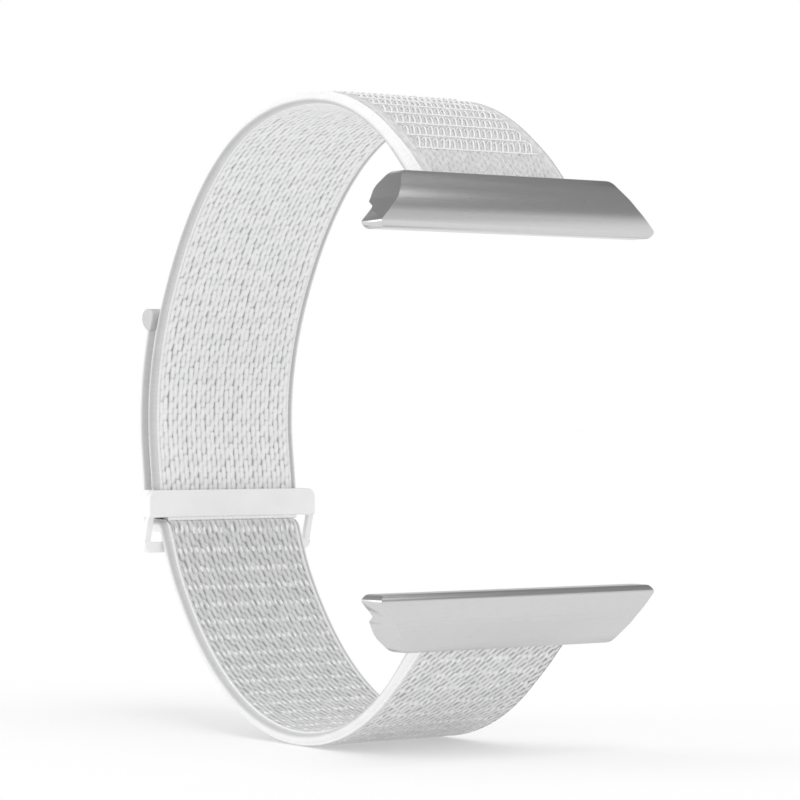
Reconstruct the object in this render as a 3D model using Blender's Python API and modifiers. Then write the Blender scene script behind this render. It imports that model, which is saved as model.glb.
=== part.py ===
"""Woven nylon watch strap with two slide-in lugs, a ring buckle and a hook-and-loop tail.

The strap is closed in a loop and stands on end: +X runs across the strap, +Y from the watch towards
the back of the wrist and +Z from the lower lug to the upper one. The origin is the middle of the
flat seat of the upper lug. Lengths are in metres.
"""

import math

import bmesh
import bpy
import numpy as np
from mathutils import Matrix, Vector

MM = 0.001

# Clearances
FIT_GAP = 0.30 * MM
RUN_GAP = 0.20 * MM
PRESS_GAP = 0.10 * MM
CUT_OVERRUN = 1.00 * MM
WELD_DISTANCE = 0.004 * MM

# Strap webbing and the loop it closes into
STRAP_WIDTH = 18.6 * MM
STRAP_THICKNESS = 1.35 * MM
LOOP_DEPTH = 55.8 * MM
UPPER_RISE = 33.3 * MM
LOWER_DROP = 34.8 * MM
SEAT_SPAN = 36.0 * MM
SEAM_GAP = 0.30 * MM
HEM_EXTRA = 0.40 * MM
HEM_LENGTH = 5.0 * MM
HEM_TAPER = 4.0 * MM
PATH_STEP = 1.0 * MM

# Lug, the slide-in metal end that a watch case holds
LUG_BASE_WIDTH = 34.2 * MM
LUG_FOOT_WIDTH = 33.2 * MM
LUG_WAIST_WIDTH = 29.8 * MM
LUG_TOP_WIDTH = 26.1 * MM
LUG_HEIGHT = 6.0 * MM
LUG_TIP_HEIGHT = 0.7 * MM
LUG_WAIST_HEIGHT = 3.1 * MM
TONGUE_THICKNESS = 3.6 * MM
TONGUE_HEIGHT = 2.3 * MM
TONGUE_ROUND = 0.7 * MM
FRONT_HEIGHT = 3.2 * MM
FRONT_ROUND = 4.0 * MM
NOSE_SETBACK = 0.5 * MM
NOSE_DEPTH = 2.1 * MM
NOSE_ROUND = 0.6 * MM
BACK_SETBACK = 4.0 * MM
BACK_HEIGHT = 4.4 * MM
BACK_ROUND = 0.9 * MM
HEEL_SETBACK = 3.4 * MM
HEEL_HEIGHT = 2.9 * MM
HEEL_ROUND = 0.5 * MM
LUG_CORNER_ROUND = 1.1 * MM
LUG_WAIST_ROUND = 4.0 * MM
LUG_FOOT_ROUND = 0.35 * MM
LUG_EDGE_ROUND = 0.22 * MM

# Lug pin, and the channel in which the strap's eye turns round it
PIN_SETBACK = 2.2 * MM
PIN_HEIGHT = 4.05 * MM
PIN_DIAMETER = 0.8 * MM
PIN_GRIP = 1.3 * MM
PIN_CHAMFER = 0.12 * MM
EYE_BORE_GAP = 0.25 * MM
EYE_WALL = 0.55 * MM
CHANNEL_GAP = 0.25 * MM
MOUTH_REACH = 8.0 * MM
MOUTH_TOP_ANGLE = math.radians(112.0)
MOUTH_BOTTOM_ANGLE = math.radians(-68.0)

# Spring latch in the tongue of a lug
LATCH_HEIGHT = 1.35 * MM
LATCH_POCKET_WIDTH = 6.0 * MM
LATCH_POCKET_HEIGHT = 2.0 * MM
LATCH_FRONT_WALL = 0.6 * MM
LATCH_NOSE_WIDTH = 4.2 * MM
LATCH_NOSE_HEIGHT = 0.9 * MM
LATCH_PROUD = 0.6 * MM
LATCH_FLANGE = 0.6 * MM
RETAINER_THICKNESS = 0.5 * MM
RETAINER_INSET = 0.1 * MM
LATCH_EDGE_ROUND = 0.12 * MM
SPRING_DIAMETER = 1.3 * MM
SPRING_WIRE = 0.2 * MM
SPRING_END_GAP = 0.05 * MM
SPRING_TURNS = 2.5
SPRING_POINTS_PER_TURN = 10

# Elastomer pads that take up the play in the case's slot
PAD_END_INSET = 6.9 * MM
PAD_WIDTH = 4.4 * MM
PAD_HEIGHT = 1.1 * MM
PAD_DEPTH = 0.8 * MM
PAD_PROUD = 0.15 * MM

# Ring buckle, moulded on the end of the upper strap
PLATE_THICKNESS = 1.2 * MM
PLATE_HEIGHT = 3.1 * MM
PLATE_ROUND = 1.0 * MM
SOCKET_DEPTH = 1.3 * MM
SOCKET_WALL = 0.5 * MM
BUCKLE_WIDTH = 22.2 * MM
BUCKLE_LEG_WIDTH = 0.8 * MM
WINDOW_HEIGHT = 2.8 * MM
BAR_HEIGHT = 1.25 * MM
BAR_DEPTH = 1.0 * MM
BAR_CLEARANCE = 0.25 * MM
BUCKLE_EDGE_ROUND = 0.25 * MM
STRAP_PROUD = 0.2 * MM
THREAD_LEAN = math.radians(24.0)
BEND_RADIUS = 1.1 * MM
BEND_STEPS = 8

# Tail with its hook patch and moulded end tab
TAIL_LENGTH = 22.4 * MM
TAIL_GAP = 1.05 * MM
HOOK_PATCH_WIDTH = 14.0 * MM
HOOK_PATCH_LENGTH = 12.0 * MM
HOOK_PATCH_THICKNESS = 0.3 * MM
HOOK_PATCH_START = 6.0 * MM
TAB_DIAMETER = 2.4 * MM
TAB_SLOT_DEPTH = 0.9 * MM
TAB_OVERHANG = 0.1 * MM
TAB_EDGE_ROUND = 0.25 * MM

# Centrelines as shares of the loop's depth behind the pins, and of its rise or drop from mid-height
UPPER_SHARES = [
    (0.109, 0.832),
    (0.260, 0.964),
    (0.430, 1.000),
    (0.645, 0.919),
    (0.796, 0.735),
    (0.906, 0.488),
    (0.985, 0.159),
    (0.995, -0.090),
    (0.983, -0.255),
    (0.981, -0.306),
]
LOWER_SHARES = [
    (0.921, 0.503),
    (0.883, 0.600),
    (0.767, 0.803),
    (0.594, 0.960),
    (0.430, 1.000),
    (0.260, 0.946),
    (0.128, 0.822),
    (0.039, 0.690),
]

# Fineness of round shapes, and the angles from which their edges are rounded
ARC_STEPS = 6
CIRCLE_STEPS = 24
ROUND_SEGMENTS = 3
FINE_SEGMENTS = 2
WIRE_RESOLUTION = 1
EDGE_ANGLE = math.radians(50.0)
LUG_EDGE_ANGLE = math.radians(40.0)
BUCKLE_EDGE_ANGLE = math.radians(60.0)

# Looks: name, colour, roughness and metallic value
WHITE_FABRIC = ("white_webbing", (0.86, 0.86, 0.87), 0.9, 0.0)
HOOK_FABRIC = ("white_hooks", (0.80, 0.80, 0.81), 0.7, 0.0)
SATIN_METAL = ("satin_metal", (0.62, 0.62, 0.63), 0.35, 1.0)
STEEL = ("steel", (0.55, 0.55, 0.56), 0.25, 1.0)
WHITE_PLASTIC = ("white_plastic", (0.88, 0.88, 0.88), 0.3, 0.0)
GREY_RUBBER = ("grey_rubber", (0.35, 0.35, 0.36), 0.8, 0.0)

# The planes that flat outlines are drawn in: seen from the side, and from the front
SIDE_PLANE = Matrix(((0, 0, 1, 0), (1, 0, 0, 0), (0, 1, 0, 0), (0, 0, 0, 1)))
FRONT_PLANE = Matrix(((1, 0, 0, 0), (0, 0, 1, 0), (0, 1, 0, 0), (0, 0, 0, 1)))


# Scene helpers

def new_collection(name):
    collection = bpy.data.collections.new(name)
    bpy.context.scene.collection.children.link(collection)
    return collection


def material(description):
    """Returns the named Principled material, and makes it at its first use."""
    name, color, roughness, metallic = description
    found = bpy.data.materials.get(name)
    if found:
        return found
    made = bpy.data.materials.new(name)
    made.use_nodes = True
    shader = made.node_tree.nodes["Principled BSDF"]
    shader.inputs["Base Color"].default_value = (*color, 1.0)
    shader.inputs["Roughness"].default_value = roughness
    shader.inputs["Metallic"].default_value = metallic
    made.diffuse_color = (*color, 1.0)
    return made


def add_empty(name, place, parent=None, turn=0.0, modelled_at=None):
    """Adds an empty, turned about the Y axis. Its pieces are modelled round its place, or round
    another point that is given."""
    empty = bpy.data.objects.new(name, None)
    empty.empty_display_size = STRAP_THICKNESS
    parts.objects.link(empty)
    empty.parent = parent
    base = parent["modelled_at"] if parent else (0.0, 0.0, 0.0)
    empty.location = Vector(place) - Vector(base)
    empty.rotation_euler = (0.0, turn, 0.0)
    empty["modelled_at"] = modelled_at or place
    return empty


def hang(obj, empty, look, origin=None):
    """Parents a mesh and its cutters to an empty, and gives the mesh its material."""
    base = Vector(origin or empty["modelled_at"])
    tools = [modifier.object for modifier in obj.modifiers if modifier.type == "BOOLEAN"]
    for piece in [obj] + tools:
        piece.data.transform(Matrix.Translation(-base))
        piece.parent = empty
    obj.data.materials.clear()
    obj.data.materials.append(material(look))
    return obj


# Outline helpers

def smooth_line(points, step):
    """Returns a natural cubic spline through the points, sampled about every step."""
    knots = np.array(points, dtype=float)
    chords = np.linalg.norm(np.diff(knots, axis=0), axis=1)
    count = len(knots)
    system = np.zeros((count, count))
    right = np.zeros((count, 2))
    system[0, 0] = 1.0
    system[-1, -1] = 1.0
    for i in range(1, count - 1):
        system[i, i - 1] = chords[i - 1]
        system[i, i] = 2.0 * (chords[i - 1] + chords[i])
        system[i, i + 1] = chords[i]
        slope_after = (knots[i + 1] - knots[i]) / chords[i]
        slope_before = (knots[i] - knots[i - 1]) / chords[i - 1]
        right[i] = 6.0 * (slope_after - slope_before)
    bend = np.linalg.solve(system, right)
    line = []
    for i, chord in enumerate(chords):
        for part in np.linspace(0.0, 1.0, max(2, round(chord / step)), endpoint=False):
            after = part * chord
            before = chord - after
            line.append(
                (bend[i] * before**3 + bend[i + 1] * after**3) / (6.0 * chord)
                + (knots[i] / chord - bend[i] * chord / 6.0) * before
                + (knots[i + 1] / chord - bend[i + 1] * chord / 6.0) * after
            )
    line.append(knots[-1])
    return np.array(line)


def run_lengths(line):
    steps = np.linalg.norm(np.diff(line, axis=0), axis=1)
    return np.concatenate([[0.0], np.cumsum(steps)])


def left_normals(line):
    slopes = np.gradient(line, axis=0)
    slopes /= np.linalg.norm(slopes, axis=1)[:, None]
    return np.stack([-slopes[:, 1], slopes[:, 0]], axis=1)


def stretch(line, start, end):
    """Cuts a line to the stretch between two lengths along it."""
    lengths = run_lengths(line)
    inside = [place for place in lengths if start < place < end]
    at = np.array([start, *inside, end])
    return np.stack([np.interp(at, lengths, line[:, axis]) for axis in range(2)], axis=1)


def ribbon(line, half_thickness):
    """Returns the closed outline of a band of webbing round its centreline."""
    sides = left_normals(line) * np.reshape(half_thickness, (-1, 1))
    return np.concatenate([line + sides, (line - sides)[::-1]])


def arc(centre, radius, start, end, steps):
    angles = np.linspace(start, end, steps + 1)
    return np.array(centre) + radius * np.stack([np.cos(angles), np.sin(angles)], axis=1)


def circle(centre, radius):
    return arc(centre, radius, 0.0, 2.0 * math.pi, CIRCLE_STEPS)[:-1]


def rounded(corners):
    """Returns a polygon whose corners, each given as (x, y, radius), are arcs."""
    outline = []
    for i, (x, y, radius) in enumerate(corners):
        here = np.array((x, y))
        before = np.array(corners[i - 1][:2]) - here
        after = np.array(corners[(i + 1) % len(corners)][:2]) - here
        before /= np.linalg.norm(before)
        after /= np.linalg.norm(after)
        half_angle = math.acos(float(np.clip(before @ after, -1.0, 1.0))) / 2.0
        middle = (before + after) / np.linalg.norm(before + after)
        centre = here + middle * radius / math.sin(half_angle)
        foot = here + before * radius / math.tan(half_angle) - centre
        end = here + after * radius / math.tan(half_angle) - centre
        start_angle = math.atan2(foot[1], foot[0])
        sweep = (math.atan2(end[1], end[0]) - start_angle + math.pi) % (2.0 * math.pi) - math.pi
        outline.extend(arc(centre, radius, start_angle, start_angle + sweep, ARC_STEPS))
    return np.array(outline)


def pill(centre, width, height):
    """Returns the outline of a slot with round ends."""
    radius = height / 2.0
    reach = width / 2.0 - radius
    right = arc((centre[0] + reach, centre[1]), radius, -math.pi / 2.0, math.pi / 2.0, ARC_STEPS)
    left = arc((centre[0] - reach, centre[1]), radius, math.pi / 2.0, 1.5 * math.pi, ARC_STEPS)
    return np.concatenate([right, left])


# Solid helpers

def mesh_from_curve(curve):
    """Returns a closed mesh of the curve's shape, and removes the curve."""
    drawn = bpy.data.objects.new(curve.name + "_line", curve)
    bpy.context.scene.collection.objects.link(drawn)
    graph = bpy.context.evaluated_depsgraph_get()
    mesh = bpy.data.meshes.new_from_object(drawn.evaluated_get(graph))
    bpy.data.objects.remove(drawn)
    bpy.data.curves.remove(curve)
    weld(mesh)
    return mesh


def add_mesh(name, mesh, collection=None):
    mesh.name = name
    made = bpy.data.objects.new(name, mesh)
    (collection or parts).objects.link(made)
    return made


def extruded(name, outlines, width, plane, centre=0.0, collection=None):
    """Makes a solid from a flat curve: the first outline bounds it and the others are holes."""
    curve = bpy.data.curves.new(name, "CURVE")
    curve.dimensions = "2D"
    curve.fill_mode = "BOTH"
    curve.extrude = width / 2.0
    for outline in outlines:
        spline = curve.splines.new("POLY")
        spline.points.add(len(outline) - 1)
        for point, (x, y) in zip(spline.points, outline):
            point.co = (x, y, 0.0, 1.0)
        spline.use_cyclic_u = True
    mesh = mesh_from_curve(curve)
    mesh.transform(plane @ Matrix.Translation((0.0, 0.0, centre)))
    weld(mesh)
    return add_mesh(name, mesh, collection)


def front_block(name, outlines, front, back, collection=None):
    """Makes a solid from an outline seen from the front, between two depths."""
    return extruded(name, outlines, back - front, FRONT_PLANE, (front + back) / 2.0, collection)


def side_solid(name, corners, width, centre=0.0):
    """Makes a cutter or a piece to be joined from its corners seen from the side."""
    return extruded(name, [corners], width, SIDE_PLANE, centre, cutters)


def weld(mesh):
    """Joins the caps of a curve's mesh to its walls and turns its faces outwards."""
    shape = bmesh.new()
    shape.from_mesh(mesh)
    bmesh.ops.remove_doubles(shape, verts=shape.verts, dist=WELD_DISTANCE)
    bmesh.ops.recalc_face_normals(shape, faces=shape.faces)
    shape.to_mesh(mesh)
    shape.free()


def cut(obj, cutter, operation="DIFFERENCE"):
    cutter.hide_render = True
    cutter.display_type = "WIRE"
    modifier = obj.modifiers.new(cutter.name, "BOOLEAN")
    modifier.operation = operation
    modifier.solver = "EXACT"
    modifier.object = cutter
    return modifier


def soften(obj, width, segments=ROUND_SEGMENTS, angle=EDGE_ANGLE):
    """Rounds the edges that are sharper than the angle."""
    modifier = obj.modifiers.new("edges", "BEVEL")
    modifier.width = width
    modifier.segments = segments
    modifier.limit_method = "ANGLE"
    modifier.angle_limit = angle
    obj.data.shade_smooth()
    obj.data.set_sharp_from_angle(angle=angle)
    return obj


def eyed_outline(line, half_thickness, eye):
    """Returns the outline of a band that ends in a round eye about its first point."""
    keep = run_lengths(line) > math.sqrt(eye**2 - half_thickness[0] ** 2)
    band = ribbon(line[keep], half_thickness[keep])
    first = band[0] - line[0]
    last = band[-1] - line[0]
    start = math.atan2(last[1], last[0])
    sweep = (start - math.atan2(first[1], first[0])) % (2.0 * math.pi)
    round_end = arc(line[0], eye, start, start - sweep, CIRCLE_STEPS)
    return np.concatenate([band, round_end[1:-1]])


# Sizes that follow from the driving ones

HALF_THICKNESS = STRAP_THICKNESS / 2.0
MID_HEIGHT = -SEAT_SPAN / 2.0
UPPER_PIN = (PIN_SETBACK, PIN_HEIGHT)
LOWER_PIN = (PIN_SETBACK, -SEAT_SPAN - PIN_HEIGHT)
PIN_RADIUS = PIN_DIAMETER / 2.0
EYE_BORE_RADIUS = PIN_RADIUS + EYE_BORE_GAP
EYE_RADIUS = EYE_BORE_RADIUS + EYE_WALL
CHANNEL_RADIUS = EYE_RADIUS + CHANNEL_GAP
CHANNEL_WIDTH = STRAP_WIDTH + 2.0 * FIT_GAP

UPPER_KNOTS = [UPPER_PIN] + [
    (PIN_SETBACK + LOOP_DEPTH * back, MID_HEIGHT + UPPER_RISE * up) for back, up in UPPER_SHARES
]
UPPER_END = UPPER_KNOTS[-1]
LOWER_KNOTS = [
    (PIN_SETBACK + LOOP_DEPTH * back, MID_HEIGHT - LOWER_DROP * down) for back, down in LOWER_SHARES
]

# Heights and depths of the buckle follow the end of the upper strap, which sits in its socket
PLATE_BACK = UPPER_END[0] - HALF_THICKNESS - FIT_GAP
PLATE_FRONT = PLATE_BACK - PLATE_THICKNESS
PLATE_TOP = UPPER_END[1] + SOCKET_DEPTH
PLATE_BOTTOM = PLATE_TOP - PLATE_HEIGHT
SOCKET_BACK = UPPER_END[0] + HALF_THICKNESS + FIT_GAP
SOCKET_FLOOR = UPPER_END[1] - FIT_GAP
TAIL_PLANE = SOCKET_BACK + SOCKET_WALL + FIT_GAP + HALF_THICKNESS
THREAD_HEIGHT = PLATE_BOTTOM - FIT_GAP - HALF_THICKNESS
THREAD_PLANE = PLATE_FRONT - STRAP_PROUD + HALF_THICKNESS
BAR_TOP = PLATE_BOTTOM - WINDOW_HEIGHT

# The lower strap leans back as it comes up past the bar, then bends over into the ring
LEAN_RUN = np.array((math.sin(THREAD_LEAN), math.cos(THREAD_LEAN)))
LOWER_BEND = np.array((THREAD_PLANE + BEND_RADIUS, THREAD_HEIGHT - BEND_RADIUS))
BEND_START = LOWER_BEND + BEND_RADIUS * np.array((-LEAN_RUN[1], LEAN_RUN[0]))
LINE_AT_BAR = BEND_START[0] - (BEND_START[1] - BAR_TOP) * math.tan(THREAD_LEAN)
BAR_FRONT = LINE_AT_BAR + HALF_THICKNESS / math.cos(THREAD_LEAN) + BAR_CLEARANCE

# The lower strap starts under the ring, and the tail starts over its socket, one seam gap away
LOWER_START = BEND_START - SEAM_GAP * LEAN_RUN
TAIL_START = (TAIL_PLANE, THREAD_HEIGHT + BEND_RADIUS + SEAM_GAP)
FLEX_AXIS = tuple(BEND_START - SEAM_GAP / 2.0 * LEAN_RUN)
PEEL_AXIS = (TAIL_PLANE + HALF_THICKNESS, TAIL_START[1] - SEAM_GAP / 2.0)


# Strap pieces

def hem_thickness(line):
    """Returns the band's half thickness: it is doubled and sewn near the lug, and tapers out."""
    past = (run_lengths(line) - HEM_LENGTH) / HEM_TAPER
    fade = 1.0 - np.clip(past, 0.0, 1.0)
    return HALF_THICKNESS + HEM_EXTRA / 2.0 * fade


def upper_centreline():
    return smooth_line(UPPER_KNOTS, PATH_STEP)


def lower_centreline():
    """Runs from the lower pin to the underside of the ring."""
    top = [LOWER_START - HALF_THICKNESS * LEAN_RUN, LOWER_START]
    return smooth_line([LOWER_PIN] + LOWER_KNOTS[::-1] + top, PATH_STEP)


def tail_centreline():
    """Follows the outside of the upper strap, up from the buckle."""
    foot = np.array([(UPPER_END[0], TAIL_START[1])])
    inner = np.concatenate([foot, upper_centreline()[::-1]])
    away = STRAP_THICKNESS + TAIL_GAP
    at_buckle = TAIL_PLANE - inner[0][0]
    fade = np.clip(run_lengths(inner) / TAIL_LENGTH, 0.0, 1.0)
    offset = at_buckle + (away - at_buckle) * fade
    line = inner - left_normals(inner) * offset[:, None]
    return stretch(line, 0.0, TAIL_LENGTH)


def build_eyed_strap(name, line, empty):
    half = hem_thickness(line)
    outline = eyed_outline(line, half, EYE_RADIUS)
    bore = circle(line[0], EYE_BORE_RADIUS)
    strap = extruded(name, [outline, bore], STRAP_WIDTH, SIDE_PLANE)
    return hang(strap, empty, WHITE_FABRIC)


def build_threaded_strap(empty):
    """The stretch of the lower strap that passes through the ring, in an S from skin side to outside."""
    upper_bend = (TAIL_PLANE - BEND_RADIUS, THREAD_HEIGHT + BEND_RADIUS)
    outer = BEND_RADIUS + HALF_THICKNESS
    inner = BEND_RADIUS - HALF_THICKNESS
    quarter = math.pi / 2.0
    lean = math.pi - THREAD_LEAN
    outline = np.concatenate([
        arc(LOWER_BEND, outer, lean, quarter, BEND_STEPS),
        arc(upper_bend, inner, -quarter, 0.0, BEND_STEPS),
        arc(upper_bend, outer, 0.0, -quarter, BEND_STEPS),
        arc(LOWER_BEND, inner, quarter, lean, BEND_STEPS),
    ])
    strap = extruded("threaded_strap", [outline], STRAP_WIDTH, SIDE_PLANE)
    return hang(strap, empty, WHITE_FABRIC)


def build_tail(empty):
    line = tail_centreline()
    strap = extruded("tail_strap", [ribbon(line, HALF_THICKNESS)], STRAP_WIDTH, SIDE_PLANE)
    return hang(strap, empty, WHITE_FABRIC)


def build_hook_patch(empty):
    """The hook tape that is sewn on the inside of the tail."""
    line = tail_centreline()
    inward = HALF_THICKNESS + PRESS_GAP + HOOK_PATCH_THICKNESS / 2.0
    line = line + left_normals(line) * inward
    line = stretch(line, HOOK_PATCH_START, HOOK_PATCH_START + HOOK_PATCH_LENGTH)
    outline = ribbon(line, HOOK_PATCH_THICKNESS / 2.0)
    return hang(extruded("hook_patch", [outline], HOOK_PATCH_WIDTH, SIDE_PLANE), empty, HOOK_FABRIC)


def build_end_tab(empty):
    """The moulded bar that the tail is gripped by: a round bar with a slot for the end of the webbing."""
    line = tail_centreline()
    along = line[-1] - line[-2]
    heading = math.atan2(along[1], along[0])
    radius = TAB_DIAMETER / 2.0
    slot_half = HALF_THICKNESS + PRESS_GAP
    mouth = math.asin(slot_half / radius)
    rim = arc((0.0, 0.0), radius, mouth - math.pi, math.pi - mouth, CIRCLE_STEPS)
    floor = -radius * math.cos(mouth) + TAB_SLOT_DEPTH
    slot = np.array([(floor, slot_half), (floor, -slot_half)])
    shape = np.concatenate([rim, slot])
    turn = np.array([[math.cos(heading), -math.sin(heading)], [math.sin(heading), math.cos(heading)]])
    centre = line[-1] + turn @ np.array((PRESS_GAP - floor, 0.0))
    outline = shape @ turn.T + centre
    tab = extruded("tail_end_tab", [outline], STRAP_WIDTH + 2.0 * TAB_OVERHANG, SIDE_PLANE)
    return hang(soften(tab, TAB_EDGE_ROUND), empty, WHITE_PLASTIC)


# Buckle

BUCKLE_HALF_WIDTH = BUCKLE_WIDTH / 2.0
BAR_BOTTOM = BAR_TOP - BAR_HEIGHT
BAR_BACK = BAR_FRONT + BAR_DEPTH
BLOCK_FRONT = PLATE_FRONT + BUCKLE_EDGE_ROUND
BLOCK_BACK = SOCKET_BACK + SOCKET_WALL


def ring_outline(bottom, bottom_round):
    """Returns the front outline of the buckle down to a height, with its upper corners rounded."""
    return rounded([
        (-BUCKLE_HALF_WIDTH, bottom, bottom_round),
        (BUCKLE_HALF_WIDTH, bottom, bottom_round),
        (BUCKLE_HALF_WIDTH, PLATE_TOP, PLATE_ROUND),
        (-BUCKLE_HALF_WIDTH, PLATE_TOP, PLATE_ROUND),
    ])


def build_hoop():
    """Returns the lower bar with the two legs that carry it, within the buckle's front outline."""
    bar = rounded([
        (BAR_FRONT, BAR_TOP, BUCKLE_EDGE_ROUND),
        (BAR_FRONT, BAR_BOTTOM, BUCKLE_EDGE_ROUND),
        (BAR_BACK, BAR_BOTTOM, BUCKLE_EDGE_ROUND),
        (BAR_BACK, BAR_TOP, BUCKLE_EDGE_ROUND),
    ])
    hoop = side_solid("buckle_hoop", bar, BUCKLE_WIDTH)
    inset = BUCKLE_EDGE_ROUND / 2.0
    bar_middle = BAR_TOP - BAR_HEIGHT / 2.0
    leg = [
        (BLOCK_FRONT, PLATE_BOTTOM + BUCKLE_EDGE_ROUND),
        (BAR_FRONT + inset, BAR_TOP),
        (BAR_FRONT + inset, bar_middle),
        (BAR_BACK - inset, bar_middle),
        (BAR_BACK - inset, BAR_TOP),
        (PLATE_BACK - BUCKLE_EDGE_ROUND, PLATE_BOTTOM + BUCKLE_EDGE_ROUND),
    ]
    for side, word in ((-1.0, "left"), (1.0, "right")):
        centre = side * (BUCKLE_HALF_WIDTH - BUCKLE_LEG_WIDTH / 2.0)
        cut(hoop, side_solid("buckle_leg_" + word, leg, BUCKLE_LEG_WIDTH, centre), "UNION")
    rim_front = PLATE_FRONT - CUT_OVERRUN
    rim_back = BAR_BACK + CUT_OVERRUN
    rim = front_block("buckle_rim", [ring_outline(BAR_BOTTOM, PLATE_ROUND)], rim_front, rim_back, cutters)
    cut(hoop, rim, "INTERSECT")
    return hoop


def build_buckle(empty):
    """A ring: a plate against the skin with a socket for the upper strap, two legs and a lower bar."""
    plate = ring_outline(PLATE_BOTTOM, BUCKLE_EDGE_ROUND)
    frame = front_block("buckle_frame", [plate], PLATE_FRONT, PLATE_BACK)
    block = [
        (BLOCK_FRONT, PLATE_BOTTOM),
        (BLOCK_BACK, PLATE_BOTTOM),
        (BLOCK_BACK, PLATE_TOP),
        (BLOCK_FRONT, PLATE_TOP),
    ]
    socket = [
        (PLATE_BACK, SOCKET_FLOOR),
        (SOCKET_BACK, SOCKET_FLOOR),
        (SOCKET_BACK, PLATE_TOP + CUT_OVERRUN),
        (PLATE_BACK, PLATE_TOP + CUT_OVERRUN),
    ]
    cut(frame, side_solid("buckle_block", block, CHANNEL_WIDTH + 2.0 * SOCKET_WALL), "UNION")
    cut(frame, build_hoop(), "UNION")
    cut(frame, side_solid("buckle_socket", socket, CHANNEL_WIDTH))
    soften(frame, BUCKLE_EDGE_ROUND / 2.0, FINE_SEGMENTS, BUCKLE_EDGE_ANGLE)
    return hang(frame, empty, WHITE_PLASTIC)


# Lug pieces, each modelled round the pin's centre and used in both lugs

PIN_ORIGIN = (0.0, PIN_SETBACK, PIN_HEIGHT)
TONGUE_BACK = TONGUE_THICKNESS / 2.0
LATCH_FLOOR = LATCH_FRONT_WALL - TONGUE_BACK
LATCH_CENTRE = (0.0, LATCH_HEIGHT)
RETAINER_BACK = TONGUE_BACK - RETAINER_INSET
FLANGE_BACK = RETAINER_BACK - RETAINER_THICKNESS - PRESS_GAP
FLANGE_FRONT = FLANGE_BACK - LATCH_FLANGE
PAD_OFFSET = LUG_BASE_WIDTH / 2.0 - PAD_END_INSET


def shrunk_pill(width, height, gap):
    return pill(LATCH_CENTRE, width - 2.0 * gap, height - 2.0 * gap)


def build_lug_body(prefix, empty, open_side):
    """The side section of the lug, cut to its front outline, with its channel, pockets and pin hole,
    which is open at one end of the lug."""
    section = rounded([
        (-TONGUE_BACK, 0.0, TONGUE_ROUND),
        (-TONGUE_BACK, FRONT_HEIGHT, FRONT_ROUND),
        (NOSE_SETBACK, LUG_HEIGHT, NOSE_ROUND),
        (NOSE_SETBACK + NOSE_DEPTH, LUG_HEIGHT, NOSE_ROUND),
        (BACK_SETBACK, BACK_HEIGHT, BACK_ROUND),
        (HEEL_SETBACK, HEEL_HEIGHT, HEEL_ROUND),
        (TONGUE_BACK, TONGUE_HEIGHT, HEEL_ROUND),
        (TONGUE_BACK, 0.0, TONGUE_ROUND),
    ])
    body = extruded(prefix + "_lug_body", [section], LUG_BASE_WIDTH, SIDE_PLANE)
    right = [
        (LUG_FOOT_WIDTH / 2.0, 0.0, LUG_FOOT_ROUND),
        (LUG_BASE_WIDTH / 2.0, LUG_TIP_HEIGHT, LUG_FOOT_ROUND),
        (LUG_WAIST_WIDTH / 2.0, LUG_WAIST_HEIGHT, LUG_WAIST_ROUND),
        (LUG_TOP_WIDTH / 2.0, LUG_HEIGHT, LUG_CORNER_ROUND),
    ]
    left = [(-x, z, radius) for x, z, radius in reversed(right)]
    face = front_block(prefix + "_lug_face", [rounded(right + left)], -LUG_HEIGHT, LUG_HEIGHT, cutters)
    cut(body, face, "INTERSECT")
    soften(body, LUG_EDGE_ROUND, angle=LUG_EDGE_ANGLE)
    round_end = MOUTH_BOTTOM_ANGLE + 2.0 * math.pi
    channel = arc(UPPER_PIN, CHANNEL_RADIUS, MOUTH_TOP_ANGLE, round_end, CIRCLE_STEPS)
    mouth = arc(UPPER_PIN, MOUTH_REACH, MOUTH_BOTTOM_ANGLE, MOUTH_TOP_ANGLE, ARC_STEPS)
    cut(body, side_solid(prefix + "_lug_channel", np.concatenate([channel, mouth]), CHANNEL_WIDTH))
    bore_length = LUG_BASE_WIDTH / 2.0 + CHANNEL_WIDTH / 2.0 + PIN_GRIP
    bore_centre = open_side * (LUG_BASE_WIDTH - bore_length) / 2.0
    bore = circle(UPPER_PIN, PIN_RADIUS + PRESS_GAP)
    cut(body, side_solid(prefix + "_pin_bore", bore, bore_length, bore_centre))
    pocket = [pill(LATCH_CENTRE, LATCH_POCKET_WIDTH, LATCH_POCKET_HEIGHT)]
    outside = TONGUE_BACK + CUT_OVERRUN
    cut(body, front_block(prefix + "_latch_pocket", pocket, LATCH_FLOOR, outside, cutters))
    for side, word in ((-1.0, "left"), (1.0, "right")):
        recess = [pill((side * PAD_OFFSET, LATCH_HEIGHT), PAD_WIDTH, PAD_HEIGHT)]
        name = prefix + "_pad_recess_" + word
        cut(body, front_block(name, recess, TONGUE_BACK - PAD_DEPTH, outside, cutters))
    return hang(body, empty, SATIN_METAL)


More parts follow.
